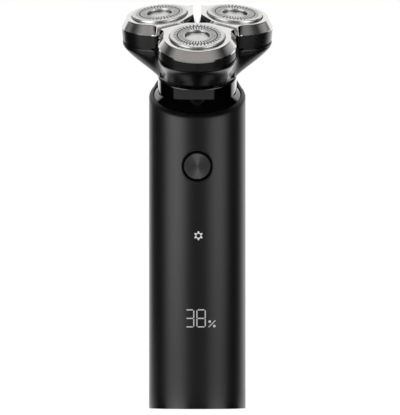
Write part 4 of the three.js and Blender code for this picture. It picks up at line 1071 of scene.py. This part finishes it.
def makeFloor(group):
    # a pale sweep that carries the room's lower part into the mirror rays
    work = bmesh.new()
    bmesh.ops.create_grid(work, x_segments=sweep["cells"], y_segments=sweep["cells"], size=sweep["size"])
    mesh = bpy.data.meshes.new("paleFloor")
    work.to_mesh(mesh)
    work.free()
    floor = placed("paleFloor", mesh)
    material = bpy.data.materials.new("paleSweep")
    material.use_nodes = True
    tree = material.node_tree
    tree.nodes.remove(tree.nodes["Principled BSDF"])
    x, y, _ = splitOf(tree, put(tree, "NewGeometry", "Position", {}))
    across, along = mathNode(tree, "MULTIPLY", x, x), mathNode(tree, "MULTIPLY", y, y)
    away = mathNode(tree, "SQRT", mathNode(tree, "ADD", across, along))
    near = ranged(tree, away, sweep["nearLeast"], 1, *sweep["near"])
    far = ranged(tree, away, 1, 0, *sweep["far"])
    dip = mathNode(tree, "MULTIPLY", mathNode(tree, "MULTIPLY", near, far), -sweep["dip"])
    # close to the round body its mirror lines fan out, so the pattern turns less there
    turn = mathNode(tree, "ARCTAN2", x, mathNode(tree, "MULTIPLY", y, -1.0))
    least = mathNode(tree, "MAXIMUM", away, sweep["bodyHalf"] * 2)
    fan = mathNode(tree, "SUBTRACT", 1.0, mathNode(tree, "DIVIDE", sweep["bodyHalf"], least))
    wide = mathNode(tree, "MINIMUM", mathNode(tree, "DIVIDE", turn, fan), math.pi)
    wide = mathNode(tree, "MAXIMUM", wide, -math.pi)
    towards = put(tree, "CombineXYZ", "Vector", {
        "X": mathNode(tree, "SINE", wide), "Z": dip,
        "Y": mathNode(tree, "MULTIPLY", mathNode(tree, "COSINE", wide), -1.0)})
    colour, path = roomColour(tree, group, towards, sweep["bounce"], sweep["glow"])
    emission = put(tree, "Emission", "Emission", {"Color": colour})
    shade = blended(tree, path, (0.0, 0.0, 0.0), (sweep["shade"],) * 3)
    diffuse = put(tree, "BsdfDiffuse", "BSDF", {"Color": shade})
    both = put(tree, "AddShader", "Shader", {0: emission, 1: diffuse})
    tree.links.new(both, tree.nodes["Material Output"].inputs["Surface"])
    mesh.materials.append(material)


def makeLamp():
    light = bpy.data.lights.new("softLamp", "AREA")
    light.shape = "DISK"
    light.size = lamp["size"]
    light.energy = lamp["power"]
    light.specular_factor = 0.0
    holder = placed("softLamp", light)
    holder.visible_glossy = False
    holder.location = lamp["place"]
    holder.rotation_euler = (Vector(lamp["aim"]) - holder.location).to_track_quat("-Z", "Y").to_euler()


def makeCamera():
    camera = bpy.data.cameras.new("view")
    camera.sensor_width = viewer["sensor"]
    camera.lens = viewer["sensor"] * viewer["distance"] / viewer["tallSeen"]
    camera.clip_start, camera.clip_end = 0.05, 60
    holder = placed("view", camera)
    holder.location = (viewer["x"], -viewer["distance"], viewer["height"])
    holder.rotation_euler = (math.radians(90), 0, 0)
    bpy.context.scene.camera = holder


roomGroup = makeRoom()
makeWorld(roomGroup)
makeFloor(roomGroup)
makeLamp()
makeCamera()
bpy.context.scene.view_settings.view_transform = "Standard"
print("floor, light and camera set")

bpy.context.view_layer.update()
